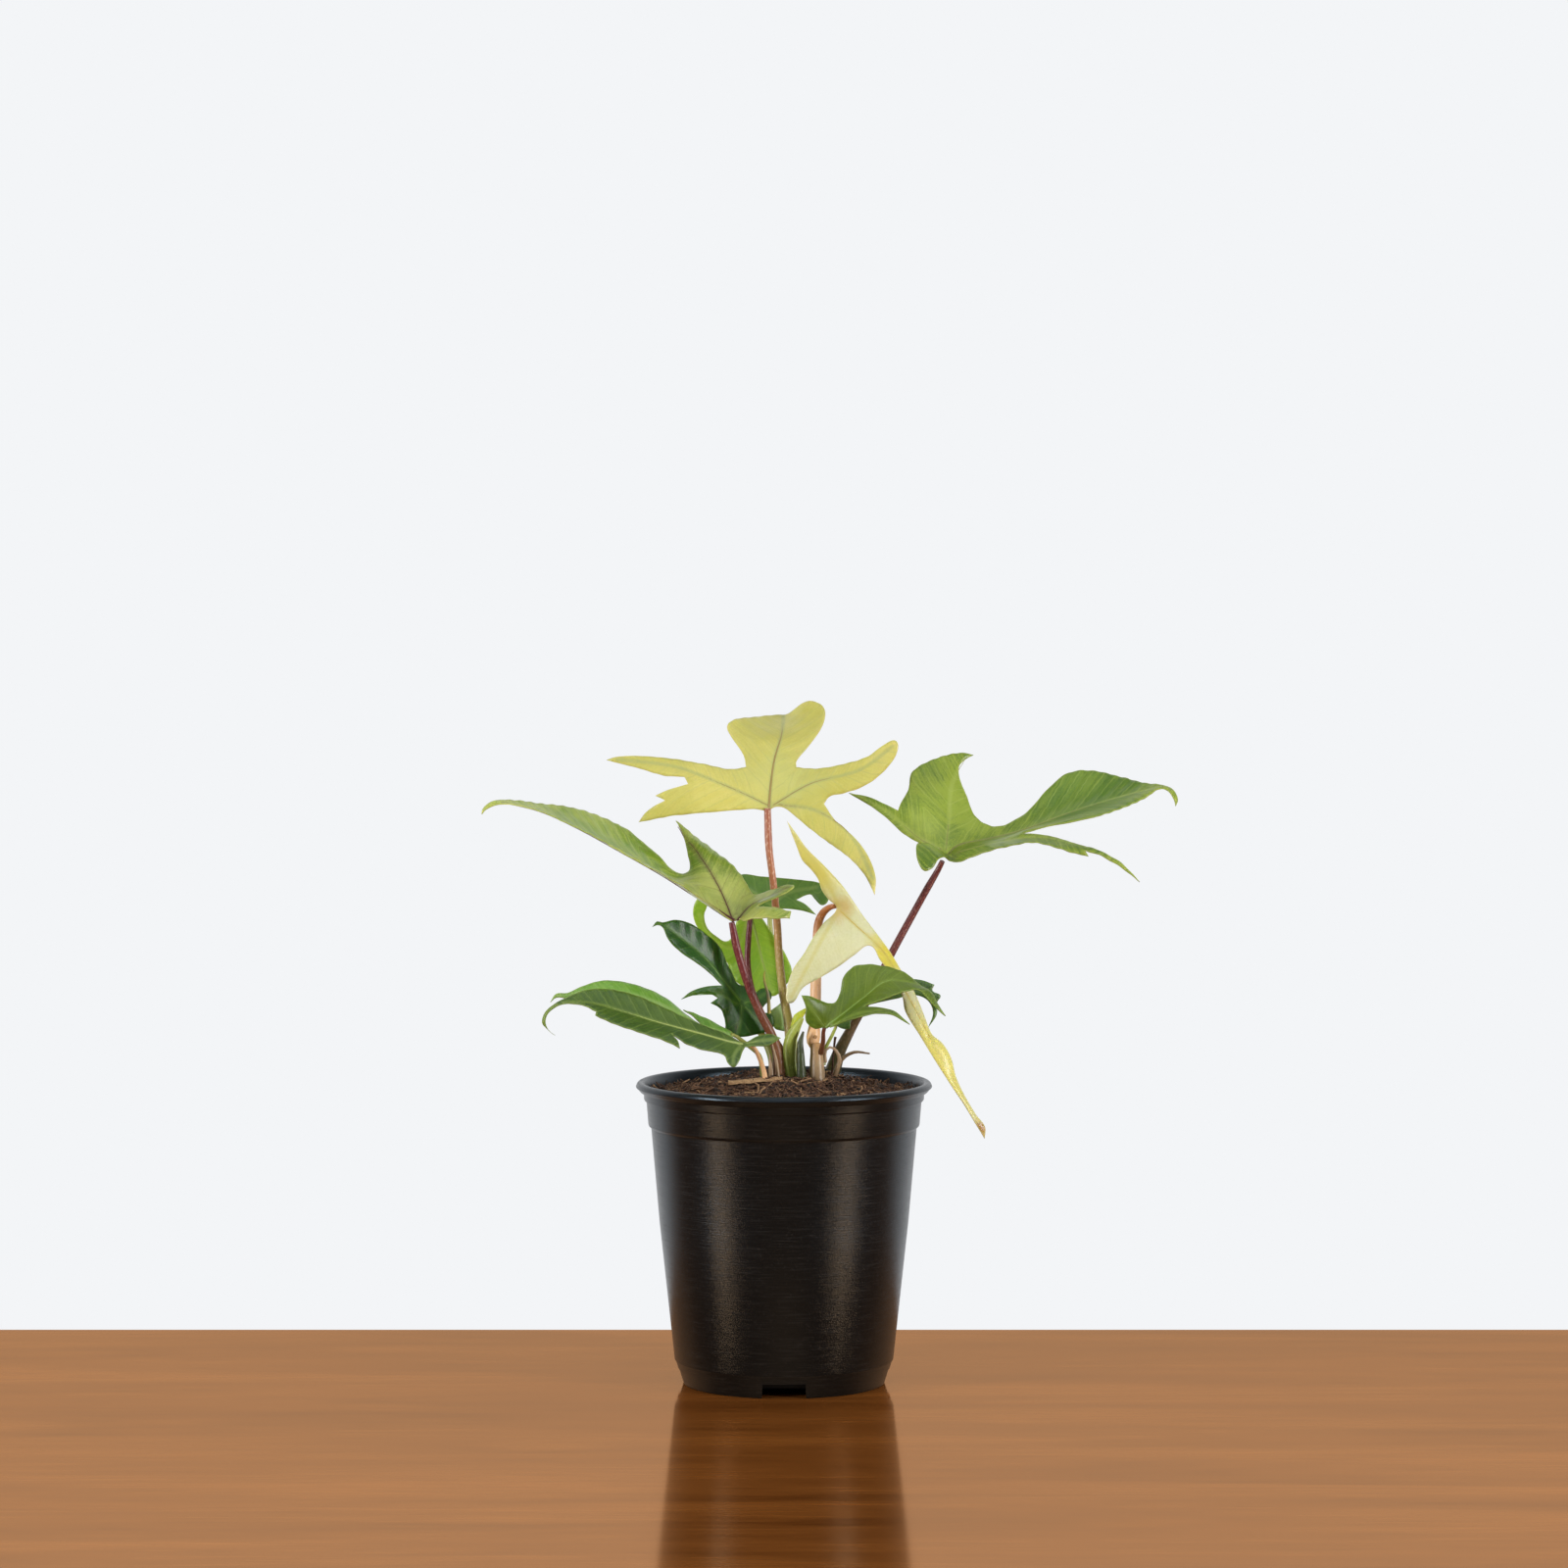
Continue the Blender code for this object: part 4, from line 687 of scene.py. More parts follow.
BLADE_THICKNESS = 0.42
BLADE_CELL = 1.0
EDGE_STEP = 0.9
ANCHOR_STEP = 3.6
RIB_STEP = 0.5
SHEET_SLACK = 4.0
VEIN_SPACING = 5.6
VEIN_SLANT = 0.9
RIB_SINK = 0.22
RIB_TAPER = 0.75
SIDE_RIB_SHARE = 0.55


def blade_surface(anchors):
    """The best plane through the anchors, and a smooth sheet that passes close to them all."""
    cloud = np.array([tuple(spot) for spot in anchors])
    middle = cloud.mean(axis=0)
    axes = np.linalg.eigh(np.cov((cloud - middle).T))[1]
    across, along, normal = axes[:, 1], axes[:, 2], axes[:, 0]
    if normal[1] > 0:
        normal = -normal
    flat = np.c_[(cloud - middle) @ across, (cloud - middle) @ along]
    height = (cloud - middle) @ normal

    def bend(a, b):
        gap = np.linalg.norm(a[:, None, :] - b[None, :, :], axis=2)
        return gap**2 * np.log(gap + 1e-6)

    count = len(flat)
    tilt = np.c_[np.ones(count), flat]
    system = np.zeros((count + 3, count + 3))
    system[:count, :count] = bend(flat, flat) + np.eye(count) * SHEET_SLACK
    system[:count, count:] = tilt
    system[count:, :count] = tilt.T
    weights = np.linalg.solve(system, np.r_[height, np.zeros(3)])

    def lift(spots, relief=0.0):
        level = np.c_[np.ones(len(spots)), spots] @ weights[count:]
        rise = bend(spots, flat) @ weights[:count] + level + relief
        return middle + spots[:, :1] * across + spots[:, 1:] * along + rise[:, None] * normal

    def flatten(path):
        return np.c_[(np.array([tuple(p) for p in path]) - middle) @ across,
                     (np.array([tuple(p) for p in path]) - middle) @ along]

    return lift, flatten


def rib_measure(spots, ribs):
    """For each point of the flat blade: how far it is from the nearest rib, and how far along it."""
    best = np.full(len(spots), 1e9)
    along = np.zeros(len(spots))
    for rib in ribs:
        steps = np.r_[0, np.cumsum(np.linalg.norm(np.diff(rib, axis=0), axis=1))]
        gaps = np.linalg.norm(spots[:, None, :] - rib[None, :, :], axis=2)
        nearest = gaps.argmin(axis=1)
        close = gaps.min(axis=1)
        better = close < best
        best[better] = close[better]
        along[better] = steps[nearest[better]]
    return best, along


def blade(name, material, slot, node, outline, veins, rib_skin=None, rib_radius=0.55, quilt=0.16,
          waves=0.35):
    """A leaf blade: its outline in space filled with a fine sheet, quilted between the side veins."""
    anchors = smooth_path(outline, ANCHOR_STEP, closed=True)
    for vein in veins:
        anchors += smooth_path(vein, ANCHOR_STEP)
    lift, flatten = blade_surface(anchors)
    edge = flatten(smooth_path(outline, EDGE_STEP, closed=True))
    ribs = [flatten(smooth_path(vein, RIB_STEP)) for vein in veins]
    low, high = edge.min(axis=0), edge.max(axis=0)
    rows = np.arange(low[1], high[1], BLADE_CELL * 0.87)
    inside = np.array([(x + BLADE_CELL / 2 * (row % 2), y) for row, y in enumerate(rows)
                       for x in np.arange(low[0], high[0], BLADE_CELL)])
    clear = np.array([np.linalg.norm(edge - spot, axis=1).min() > BLADE_CELL * 0.62 for spot in inside])
    inside = inside[clear]
    count = len(edge)
    filled = delaunay_2d_cdt([Vector(spot) for spot in edge] + [Vector(spot) for spot in inside],
                             [(i, (i + 1) % count) for i in range(count)], [list(range(count))], 1, 1e-5)
    flat = np.array([tuple(spot) for spot in filled[0]])
    away, along = rib_measure(flat, ribs)
    margin = np.array([np.linalg.norm(edge - spot, axis=1).min() for spot in flat])
    slant = along - VEIN_SLANT * away
    rise = quilt * np.cos(math.tau * slant / VEIN_SPACING) * np.clip((away - 0.8) / 3.0, 0, 1)
    rise -= 0.30 * np.exp(-((away / 0.9) ** 2))
    ripple = np.array([noise.noise(Vector((x, y, 3.0)) * 0.11) + 0.4
                       * noise.noise(Vector((x, y, 9.0)) * 0.3)
                       for x, y in flat])
    rise += waves * ripple * np.clip(away / 3.0, 0, 1)
    bm = bmesh.new()
    chart = bm.loops.layers.uv.new("blade")
    shore = bm.verts.layers.float.new("margin")
    corners = [bm.verts.new(Vector(spot) * MM) for spot in lift(flat, rise)]
    for vert, near in zip(corners, margin):
        vert[shore] = near * 0.1
    for face in filled[2]:
        bm.faces.new([corners[i] for i in face])
    bmesh.ops.smooth_vert(bm, verts=[vert for vert in bm.verts if not vert.is_boundary], factor=0.5,
                          use_axis_x=True, use_axis_y=True, use_axis_z=True)
    for i, vert in enumerate(corners):
        for loop in vert.link_loops:
            loop[chart].uv = (away[i] * 0.01, along[i] * 0.01)
    bmesh.ops.delete(bm, geom=[vert for vert in bm.verts if not vert.link_faces], context="VERTS")
    made = mesh_object(name, bm, material)
    wall = made.modifiers.new("thickness", "SOLIDIFY")
    wall.thickness = BLADE_THICKNESS * MM
    wall.offset = 0.0
    declare(made, slot, node)
    for number, rib in enumerate(ribs):
        if rib_skin:
            line = lift(rib[::4], np.full(len(rib[::4]), -RIB_SINK))
            data = bpy.data.curves.new(name + "_rib_" + str(number), "CURVE")
            data.dimensions = "3D"
            data.bevel_depth = MM
            data.bevel_resolution = 2
            data.use_fill_caps = True
            wire = data.splines.new("POLY")
            wire.points.add(len(line) - 1)
            root_radius = rib_radius if number == 0 else rib_radius * SIDE_RIB_SHARE
            for i, spot in enumerate(line):
                wire.points[i].co = (*(Vector(spot) * MM), 1)
                wire.points[i].radius = root_radius * (1.0 - RIB_TAPER * i / len(line))
            data.materials.append(rib_skin)
            declare(put_object(name + "_rib_" + str(number), data), slot)
    return made


def leaf_markings():
    """The markings that all the blades share: mottling in streaks, side veins, rib, margin, relief."""
    group, given, result = open_group(
        "leaf_markings", [("Patch Size", 40.0), ("Streaks", 0.6), ("Patches", 0.9), ("Specks", 0.3)],
        ["Mottle", "Vein", "Side Veins", "Margin", "Height"])
    chart = add_node(group, "ShaderNodeUVMap", uv_map="blade").outputs[0]
    apart = add_node(group, "ShaderNodeSeparateXYZ", {"Vector": chart})
    away, along = apart.outputs["X"], apart.outputs["Y"]
    slant = add_node(group, "ShaderNodeMath", {0: away, 1: -VEIN_SLANT, 2: along},
                     operation="MULTIPLY_ADD").outputs[0]
    grown = add_node(group, "ShaderNodeMath", {0: slant, 1: 95.0}, operation="MULTIPLY").outputs[0]
    spread = add_node(group, "ShaderNodeMath", {0: away, 1: 11.0}, operation="MULTIPLY").outputs[0]
    track = add_node(group, "ShaderNodeCombineXYZ", {"X": grown, "Y": spread})
    streak = add_node(group, "ShaderNodeTexNoise", {"Vector": track.outputs[0], "Scale": 1.0, "Detail": 6.0,
                                                    "Roughness": 0.68}).outputs[0]
    where = add_node(group, "ShaderNodeTexCoord").outputs["Object"]
    patch = add_node(group, "ShaderNodeTexNoise", {"Vector": where, "Scale": given["Patch Size"],
                                                   "Detail": 3.0, "Distortion": 0.6}).outputs[0]
    speck = add_node(group, "ShaderNodeTexNoise", {"Vector": where, "Scale": 1500.0,
                                                   "Detail": 2.0}).outputs[0]
    total = None
    for source, weight in ((streak, given["Streaks"]), (patch, given["Patches"]), (speck, given["Specks"])):
        centred = add_node(group, "ShaderNodeMath", {0: source, 1: 0.5}, operation="SUBTRACT").outputs[0]
        weighed = add_node(group, "ShaderNodeMath", {0: centred, 1: weight},
                           operation="MULTIPLY").outputs[0]
        if total is None:
            total = weighed
        else:
            total = add_node(group, "ShaderNodeMath", {0: total, 1: weighed}, operation="ADD").outputs[0]
    mottle = add_node(group, "ShaderNodeMapRange", {"Value": total, "From Min": -0.16, "From Max": 0.16})
    group.links.new(mottle.outputs[0], result["Mottle"])
    rib = add_node(group, "ShaderNodeMapRange", {"Value": away, "From Min": 0.011, "From Max": 0.003})
    group.links.new(rib.outputs[0], result["Vein"])
    turns = add_node(group, "ShaderNodeMath", {0: slant, 1: math.tau * 100 / VEIN_SPACING},
                     operation="MULTIPLY")
    crest = add_node(group, "ShaderNodeMath", {0: turns.outputs[0]}, operation="COSINE")
    lines = add_node(group, "ShaderNodeMapRange", {"Value": crest.outputs[0], "From Min": 0.93,
                                                   "From Max": 1.0})
    group.links.new(lines.outputs[0], result["Side Veins"])
    shore = add_node(group, "ShaderNodeAttribute", attribute_name="margin").outputs["Fac"]
    margin = add_node(group, "ShaderNodeMapRange", {"Value": shore, "From Min": 0.06, "From Max": 0.0})
    group.links.new(margin.outputs[0], result["Margin"])
    height = add_node(group, "ShaderNodeMath", {0: streak, 1: 0.6, 2: speck}, operation="MULTIPLY_ADD")
    group.links.new(height.outputs[0], result["Height"])
    return group


def soft_patch():
    """A soft-edged patch of the blade round a point, its edge broken up by noise."""
    group, given, result = open_group("soft_patch", [("Reach", 0.01)], ["Amount"])
    group.interface.new_socket("Centre", in_out="INPUT", socket_type="NodeSocketVector")
    where = add_node(group, "ShaderNodeTexCoord").outputs["Object"]
    gap = add_node(group, "ShaderNodeVectorMath", {0: where, 1: given["Centre"]},
                   operation="DISTANCE").outputs["Value"]
    noise_map = add_node(group, "ShaderNodeTexNoise",
                         {"Vector": where, "Scale": 160.0, "Detail": 4.0}).outputs[0]
    share = add_node(group, "ShaderNodeMath", {0: gap, 1: given["Reach"]}, operation="DIVIDE").outputs[0]
    broken = add_node(group, "ShaderNodeMath", {0: noise_map, 1: 0.9, 2: share},
                      operation="MULTIPLY_ADD").outputs[0]
    soft = add_node(group, "ShaderNodeMapRange", {"Value": broken, "From Min": 1.45, "From Max": 0.85})
    group.links.new(soft.outputs[0], result["Amount"])
    return group


LEAF_MARKINGS = leaf_markings()
SOFT_PATCH = soft_patch()


def leaf_material(name, ground, mottle, vein, margin, streaks=0.6, patches=0.9, specks=0.3, patch_size=40.0,
                  vein_strength=0.5, line_strength=0.25, gloss=0.36, glow=0.25, patch_tints=()):
    """A waxy leaf skin: ground colour, mottling, ribs, side veins and a thin margin."""
    made, tree, shader = fit_nodes(name)
    marks = add_node(tree, "ShaderNodeGroup", node_tree=LEAF_MARKINGS)
    for label, value in (("Patch Size", patch_size), ("Streaks", streaks), ("Patches", patches),
                         ("Specks", specks)):
        marks.inputs[label].default_value = value
    colour = add_node(tree, "ShaderNodeMix", {"Factor": marks.outputs["Mottle"], "A": (*ground, 1),
                                              "B": (*mottle, 1)},
                      data_type="RGBA").outputs["Result"]
    for spot, reach, tint, strength in patch_tints:
        patch = add_node(tree, "ShaderNodeGroup", node_tree=SOFT_PATCH)
        patch.inputs["Centre"].default_value = place(*spot) * MM
        patch.inputs["Reach"].default_value = reach * MM
        amount = add_node(tree, "ShaderNodeMath", {0: patch.outputs[0], 1: strength}, operation="MULTIPLY")
        colour = add_node(tree, "ShaderNodeMix", {"Factor": amount.outputs[0], "A": colour,
                                                  "B": (*tint, 1)},
                          data_type="RGBA").outputs["Result"]
    for label, strength, tint in (("Side Veins", line_strength, vein), ("Vein", vein_strength, vein),
                                  ("Margin", 0.5, margin)):
        amount = add_node(tree, "ShaderNodeMath", {0: marks.outputs[label], 1: strength},
                          operation="MULTIPLY")
        colour = add_node(tree, "ShaderNodeMix", {"Factor": amount.outputs[0], "A": colour,
                                                  "B": (*tint, 1)},
                          data_type="RGBA").outputs["Result"]
    tree.links.new(colour, shader.inputs["Base Color"])
    bump = add_node(tree, "ShaderNodeBump", {"Height": marks.outputs["Height"], "Strength": 0.16,
                                             "Distance": 0.0004})
    tree.links.new(bump.outputs[0], shader.inputs["Normal"])
    shine = add_node(tree, "ShaderNodeMapRange", {"Value": marks.outputs["Mottle"], "To Min": gloss,
                                                  "To Max": gloss + 0.1})
    tree.links.new(shine.outputs[0], shader.inputs["Roughness"])
    shader.inputs["Subsurface Weight"].default_value = glow
    shader.inputs["Subsurface Radius"].default_value = (0.0022, 0.0030, 0.0008)
    shader.inputs["Subsurface Scale"].default_value = 1.0
    return made


# ---------------------------------------------------------------------------
# Top leaf. The youngest full leaf, on the tallest stalk. It is pale yellow and
# hangs face down, with a grey-green rib and five lobes.
# ---------------------------------------------------------------------------

TOP_GREEN = srgb(150, 155, 95)
HUB_RED = srgb(150, 95, 50)
blade("top_leaf", leaf_material("top_leaf_skin", srgb(198, 190, 104), srgb(180, 174, 88),
                                srgb(150, 158, 104), srgb(206, 196, 120), vein_strength=0.6,
                                patch_tints=[((-11, 240, 2), 13, srgb(150, 162, 92), 0.8),
                                             ((6, 246, 2), 10, srgb(140, 152, 74), 0.6),
                                             ((0, 226, 2), 20, srgb(178, 182, 112), 0.5)]),
      "leaf_yellow", "top_leaf_blade",
      [
      (-5.8, 212.4, 5), (-12, 213, 4), (-22, 212.2, 4), (-32, 211.4, 3), (-42, 210.3, 2),
      (-53.8, 208, 0, TIP),
      (-51, 211.8, 1), (-44, 216.2, 2, TIP), (-47.6, 217.9, 2, TIP), (-43, 220, 3), (-35.5, 222.2, 5, TIP),
      (-36.8, 225, 5, TIP), (-44, 225.4, 5), (-54, 228.2, 6), (-65.6, 231, 7, TIP), (-62, 232.4, 7),
      (-52, 232.5, 8), (-40, 231.4, 9), (-30, 229.6, 10), (-20, 227.6, 11), (-14, 228.3, 12, TIP),
      (-15, 233, 16), (-19.5, 239.8, 22), (-21, 243.6, 25), (-18.5, 246, 28), (-10, 247, 36),
      (-3, 247.8, 40), (1.5, 248, 40), (6.5, 252, 35), (11.5, 252.8, 31), (15, 249.8, 28), (14, 243.5, 22),
      (9, 236.2, 17), (4.6, 230.8, 13), (4.6, 228.4, 12, TIP), (12, 227.8, 10), (22, 229.5, 8),
      (31, 232.4, 6), (37, 236.8, 4), (41.4, 238.2, 3), (41.6, 233.5, 2), (37, 227, 2), (30, 221.8, 2),
      (23, 219, 3), (17, 217.6, 4), (14.8, 214.8, 4, TIP), (19, 208.5, 2), (26, 202.3, -1), (31, 195.8, -4),
      (33.9, 188, -7), (33.6, 181, -9, TIP), (30, 188.5, -7), (24, 195, -4), (15, 201.5, 0), (6, 208.6, 3),
      (0, 213.4, 5), (-3.4, 213.9, 5)],
      [[(-5.6, 213.5, 5.4), (-5, 221, 8), (-3.6, 231, 13), (-1, 240, 21), (0, 247.6, 40)],
       [(-6, 214.5, 5.4), (-20, 221, 6), (-40, 228.6, 7), (-62, 231.4, 7)],
       [(-4, 214.5, 5.4), (10, 222.5, 6), (28, 227.5, 5), (40, 236, 3)],
       [(-2, 214.8, 5.4), (12, 212.4, 3), (24, 204.5, -1), (33, 187, -7)]],
      rib_skin=leaf_material("top_rib_skin", TOP_GREEN, srgb(170, 170, 110), TOP_GREEN, HUB_RED))

# ---------------------------------------------------------------------------
# Left leaf. A large leaf folded along its rib, mottled green and cream, on a dark red stalk.
# Its longest lobe reaches out to the left and ends in a fine tip.
# ---------------------------------------------------------------------------

blade("left_leaf", leaf_material("left_leaf_skin", srgb(104, 130, 34), srgb(170, 180, 84), srgb(96, 70, 45),
                                 srgb(180, 186, 110), streaks=1.0, gloss=0.3,
                                 # The pale patch round (-24, 180) is a painted highlight: the glossy sheen
                                 # along the lower half of the folded blade, painted into its colour rather
                                 # than lit.
                                 patch_tints=[((-24, 180, -14), 22, srgb(172, 176, 100), 0.55),
                                              ((-70, 200, -20), 34, srgb(92, 126, 34), 0.6)]),
      "leaf_mottled", "left_leaf_blade",
      [
      (-18, 171.2, -12), (-13.5, 171.9, -16), (-8, 172.3, -20), (-3, 172.3, -25), (2, 172.4, -29, TIP),
      (2.6, 175.1, -26.5, TIP), (-2, 176.2, -21), (-6, 176.7, -17), (-10, 177, -13.5, TIP),
      (-5, 179.2, -14),
      (0, 181.6, -14), (3.8, 184.4, -12.5), (1.5, 185.2, -9.5), (-4, 183, -5), (-11.6, 181, -2, TIP),
      (-13, 184.2, -1), (-17, 190, 3), (-23, 195.2, 8), (-31, 201.4, 14.5), (-40, 208.6, 19, TIP),
      (-37.6, 203, 14), (-35.6, 196, 8), (-34.9, 190.4, 4.4), (-37.4, 188.6, 3.8), (-42, 191, 4.6),
      (-47, 196, 6.5), (-52.5, 201.2, 8), (-59, 206, 9), (-68, 210.2, 8.5), (-80, 213.6, 5),
      (-92, 215.1, 0),
      (-103, 216.3, -5), (-108.5, 215.5, -7), (-111.3, 213, -8), (-112.2, 210, -9, TIP), (-110.2, 213, -9),
      (-107, 214.4, -9.5), (-101, 214.9, -11.5), (-90, 212.1, -17), (-80, 207.7, -21), (-70, 202.7, -23),
      (-60, 197.3, -22), (-50, 191.8, -19), (-45, 188.9, -17.5, TIP), (-53, 193.2, -33),
      (-65, 199.7, -47, TIP),
      (-57, 195.3, -47), (-47, 189.8, -42), (-38, 184.8, -36), (-30, 179.1, -28), (-24, 174.9, -20)],
      [[(-18.6, 171.4, -12), (-31, 179.8, -12), (-45, 188.8, -12), (-60, 197.2, -12), (-75, 205.4, -11.5),
       (-90, 212.2, -10.5), (-104, 215.4, -8.5)],
       [(-19, 172.6, -12), (-24, 184, -4), (-31, 196, 6), (-39, 207, 16)],
       [(-17, 172.6, -12.5), (-11.4, 177.8, -9), (-3, 181.6, -9.6), (2, 184.2, -11)]],
      rib_skin=leaf_material("left_rib_skin", srgb(88, 40, 32), srgb(110, 60, 40), srgb(80, 30, 30),
                             srgb(80, 30, 30)),
      rib_radius=0.7)

# ---------------------------------------------------------------------------
# Right leaf. The other large leaf, deep green with lighter streaks. The far half stands up
# and the near half folds down over the stalk.
# ---------------------------------------------------------------------------

blade("right_leaf", leaf_material("right_leaf_skin", srgb(78, 104, 16), srgb(134, 150, 50),
                                  srgb(156, 168, 84), srgb(150, 160, 80), streaks=1.1, line_strength=0.35,
                                  patch_tints=[((50, 204, 0), 14, srgb(158, 172, 84), 0.55),
                                               ((112, 218, 8), 30, srgb(66, 104, 26), 0.5)]),
      "leaf_mottled", "right_leaf_blade",
      [
      (59.4, 194.4, 4), (56, 197.4, 5), (51, 199.4, 7), (44, 204, 9), (38, 209.6, 11), (31, 215, 13),
      (24, 218.9, 16, TIP), (31, 217.6, 15), (37, 215, 13), (42.2, 212.6, 11, TIP), (44, 216.6, 13),
      (46, 220, 16), (47, 226, 20), (50, 228.8, 22), (57, 231.8, 25), (65, 233.7, 27), (70, 233, 28, TIP),
      (65.4, 229.4, 25), (64.7, 225, 22), (67.4, 218, 17), (71, 210, 12), (77.8, 206.3, 9.5),
      (85, 208.7, 11),
      (92, 214, 15), (98, 220.8, 19), (104.5, 226, 22), (113, 227.3, 21), (124, 225, 16), (134, 222.5, 9),
      (140.5, 221.6, 4), (144, 219.8, 2), (145.6, 216.6, 0), (144.9, 213.8, -1, TIP), (144.3, 216.6, -1),
      (142.4, 219.4, 0), (139.5, 220.7, 1), (134, 217.4, -3), (127, 214, -7), (118, 211, -11),
      (108, 208.6, -13),
      (98, 206.4, -13), (88, 203.9, -12.5, TIP), (98, 203.3, -18), (108, 200.4, -23), (117, 197.2, -27),
      (125, 192.8, -30), (131.6, 186, -33, TIP), (125, 191.2, -31), (117, 196, -29),
      (111.4, 198.2, -28, TIP),
      (112.8, 195, -28, TIP), (104, 197.6, -27), (93, 200.8, -24), (84, 199.6, -21), (74, 196.8, -17),
      (65, 193.7, -12), (61.3, 193.2, -6, TIP), (59.5, 195.8, -9.5, TIP), (57.4, 194.6, -13),
      (55, 191.2, -16),
      (52.2, 189.8, -17), (50, 192.6, -16.5), (48.9, 197, -14), (49.4, 200, -10), (54, 199.7, -4),
      (58, 197.5, 0)],
      [[(60.5, 196, 2), (64, 199.4, 2.5), (75, 201.8, 4), (86, 204.5, 5.5), (95, 207.6, 6), (105, 211.4, 6),
       (118, 215.6, 6), (130, 219, 5), (139, 221.2, 3)],
       [(60, 198.6, 3), (61, 210, 10), (62, 222, 18), (67, 232.6, 26)],
       [(58, 199, 3), (50, 202.6, 7), (38, 212, 12), (26, 218.4, 15.6)],
       [(64, 197, -3), (78, 200.4, -11), (95, 202.4, -17), (112, 198.8, -25)]],
      rib_skin=leaf_material("right_rib_skin", srgb(130, 140, 70), srgb(150, 155, 90), srgb(120, 120, 60),
                             srgb(120, 120, 60)))

# ---------------------------------------------------------------------------
# Cream leaf. A leaf with almost no green in it. Two side lobes hang from a bent hub,
# and the long middle lobe is rolled and hangs past the rim of the pot.
# ---------------------------------------------------------------------------

blade("cream_leaf", leaf_material("cream_leaf_skin", srgb(206, 208, 168), srgb(190, 192, 138),
                                  srgb(188, 178, 96),
                                  srgb(225, 218, 150), streaks=0.4, patch_size=28.0, line_strength=0.1,
                                  gloss=0.3, patch_tints=[((38, 158, -15), 11, srgb(206, 190, 52), 0.9),
                                               ((12, 194, -17), 18, srgb(196, 184, 84), 0.8),
                                               ((60, 118, -22), 26, srgb(214, 204, 92), 0.8),
                                               ((73, 94, -22), 5, srgb(150, 100, 50), 0.9),
                                               ((20, 176, -13), 7, srgb(190, 140, 70), 0.5)]),
      "leaf_cream", "cream_leaf_blade",
      [
      (19.4, 176, -13), (16.4, 179.6, -14), (14, 183, -15), (12.6, 187, -16), (10, 190.6, -16.5),
      (6.8, 194, -17), (4.7, 199, -17.5), (1.1, 208.6, -18, TIP), (4.6, 203.8, -17.5), (8.4, 198.4, -17),
      (15, 191.8, -16), (22, 184, -14), (29, 173.8, -12.5), (35, 165.8, -12.5), (39.5, 159.6, -13.5),
      (42.6, 154.4, -15), (48.2, 145, -16.5), (51.8, 136.4, -18), (54.6, 129.4, -19), (58.6, 126, -19.5),
      (61.8, 120.6, -20), (63.6, 113.6, -20.5), (66.6, 107, -21), (71, 99.6, -21.5), (74.5, 95, -22),
      (74.4, 90.6, -22, TIP), (71.4, 95.6, -23), (67, 103, -23), (62, 110.4, -23), (56, 119.6, -22.5),
      (50.5, 128.6, -21.5), (45, 137.8, -20), (43.8, 143.4, -18.5), (40.2, 151, -17), (35.6, 157, -16),
      (32, 162.4, -16), (26, 158.8, -17.5), (20, 154.4, -19), (13, 150.2, -20.5), (7, 146.6, -21.5),
      (3.6, 141.4, -22), (1.2, 141.2, -22), (1, 146.4, -21.5), (3.4, 153.6, -20.5), (7.4, 159.4, -19),
      (11, 165.6, -17), (14.6, 170.6, -15)],
      [[(20.6, 175.4, -13.4), (27, 169.4, -14), (34, 163, -14.4), (38.6, 157.4, -15), (46, 143.6, -19),
       (53, 130.4, -21.6), (61, 116, -22.6), (72, 97, -22.6)],
       [(20.4, 176.8, -13.6), (16.5, 184.6, -16), (10.6, 194, -17.6), (3, 205, -18)],
       [(20, 174.6, -14), (15, 166.4, -17), (8.6, 154.4, -20.6), (2.6, 143, -22)]],
      rib_skin=leaf_material("cream_rib_skin", srgb(205, 185, 80), srgb(215, 200, 110), srgb(190, 160, 60),
                             srgb(190, 160, 60)),
      rib_radius=0.3, quilt=0.03, waves=0.1)

# ---------------------------------------------------------------------------
# Leaves behind the middle. Two leaves at the back. One is dark and level,
# and the other hangs down and is a thin bright green.
# ---------------------------------------------------------------------------

blade("middle_rear_leaf", leaf_material("middle_rear_skin", srgb(62, 96, 42), srgb(84, 116, 50),
                                        srgb(120, 140, 80), srgb(120, 140, 70)),
      "leaf_dark", "middle_rear_blade",
      [
      (-20.5, 185.4, 32), (-15.6, 188.7, 31), (-9, 188, 30), (0, 187.3, 29), (8, 186.5, 27),
      (13.4, 185.4, 25),
      (16.4, 182, 23), (16, 178.4, 22), (13.8, 177.4, 22), (11.4, 179.6, 24), (9.6, 181.4, 25),
      (4.4, 179.4, 25, TIP), (8, 177.6, 24), (12, 173.7, 23, TIP), (7, 175.2, 24), (1, 176, 25),
      (-5, 175.8, 26.6), (-11, 175.6, 28), (-17, 179, 31)],
      [[(-5, 177.4, 26), (2, 182, 27), (12, 184, 25)],
       [(-6, 178, 26.6), (-12, 182.6, 29), (-18, 185.6, 31)]])
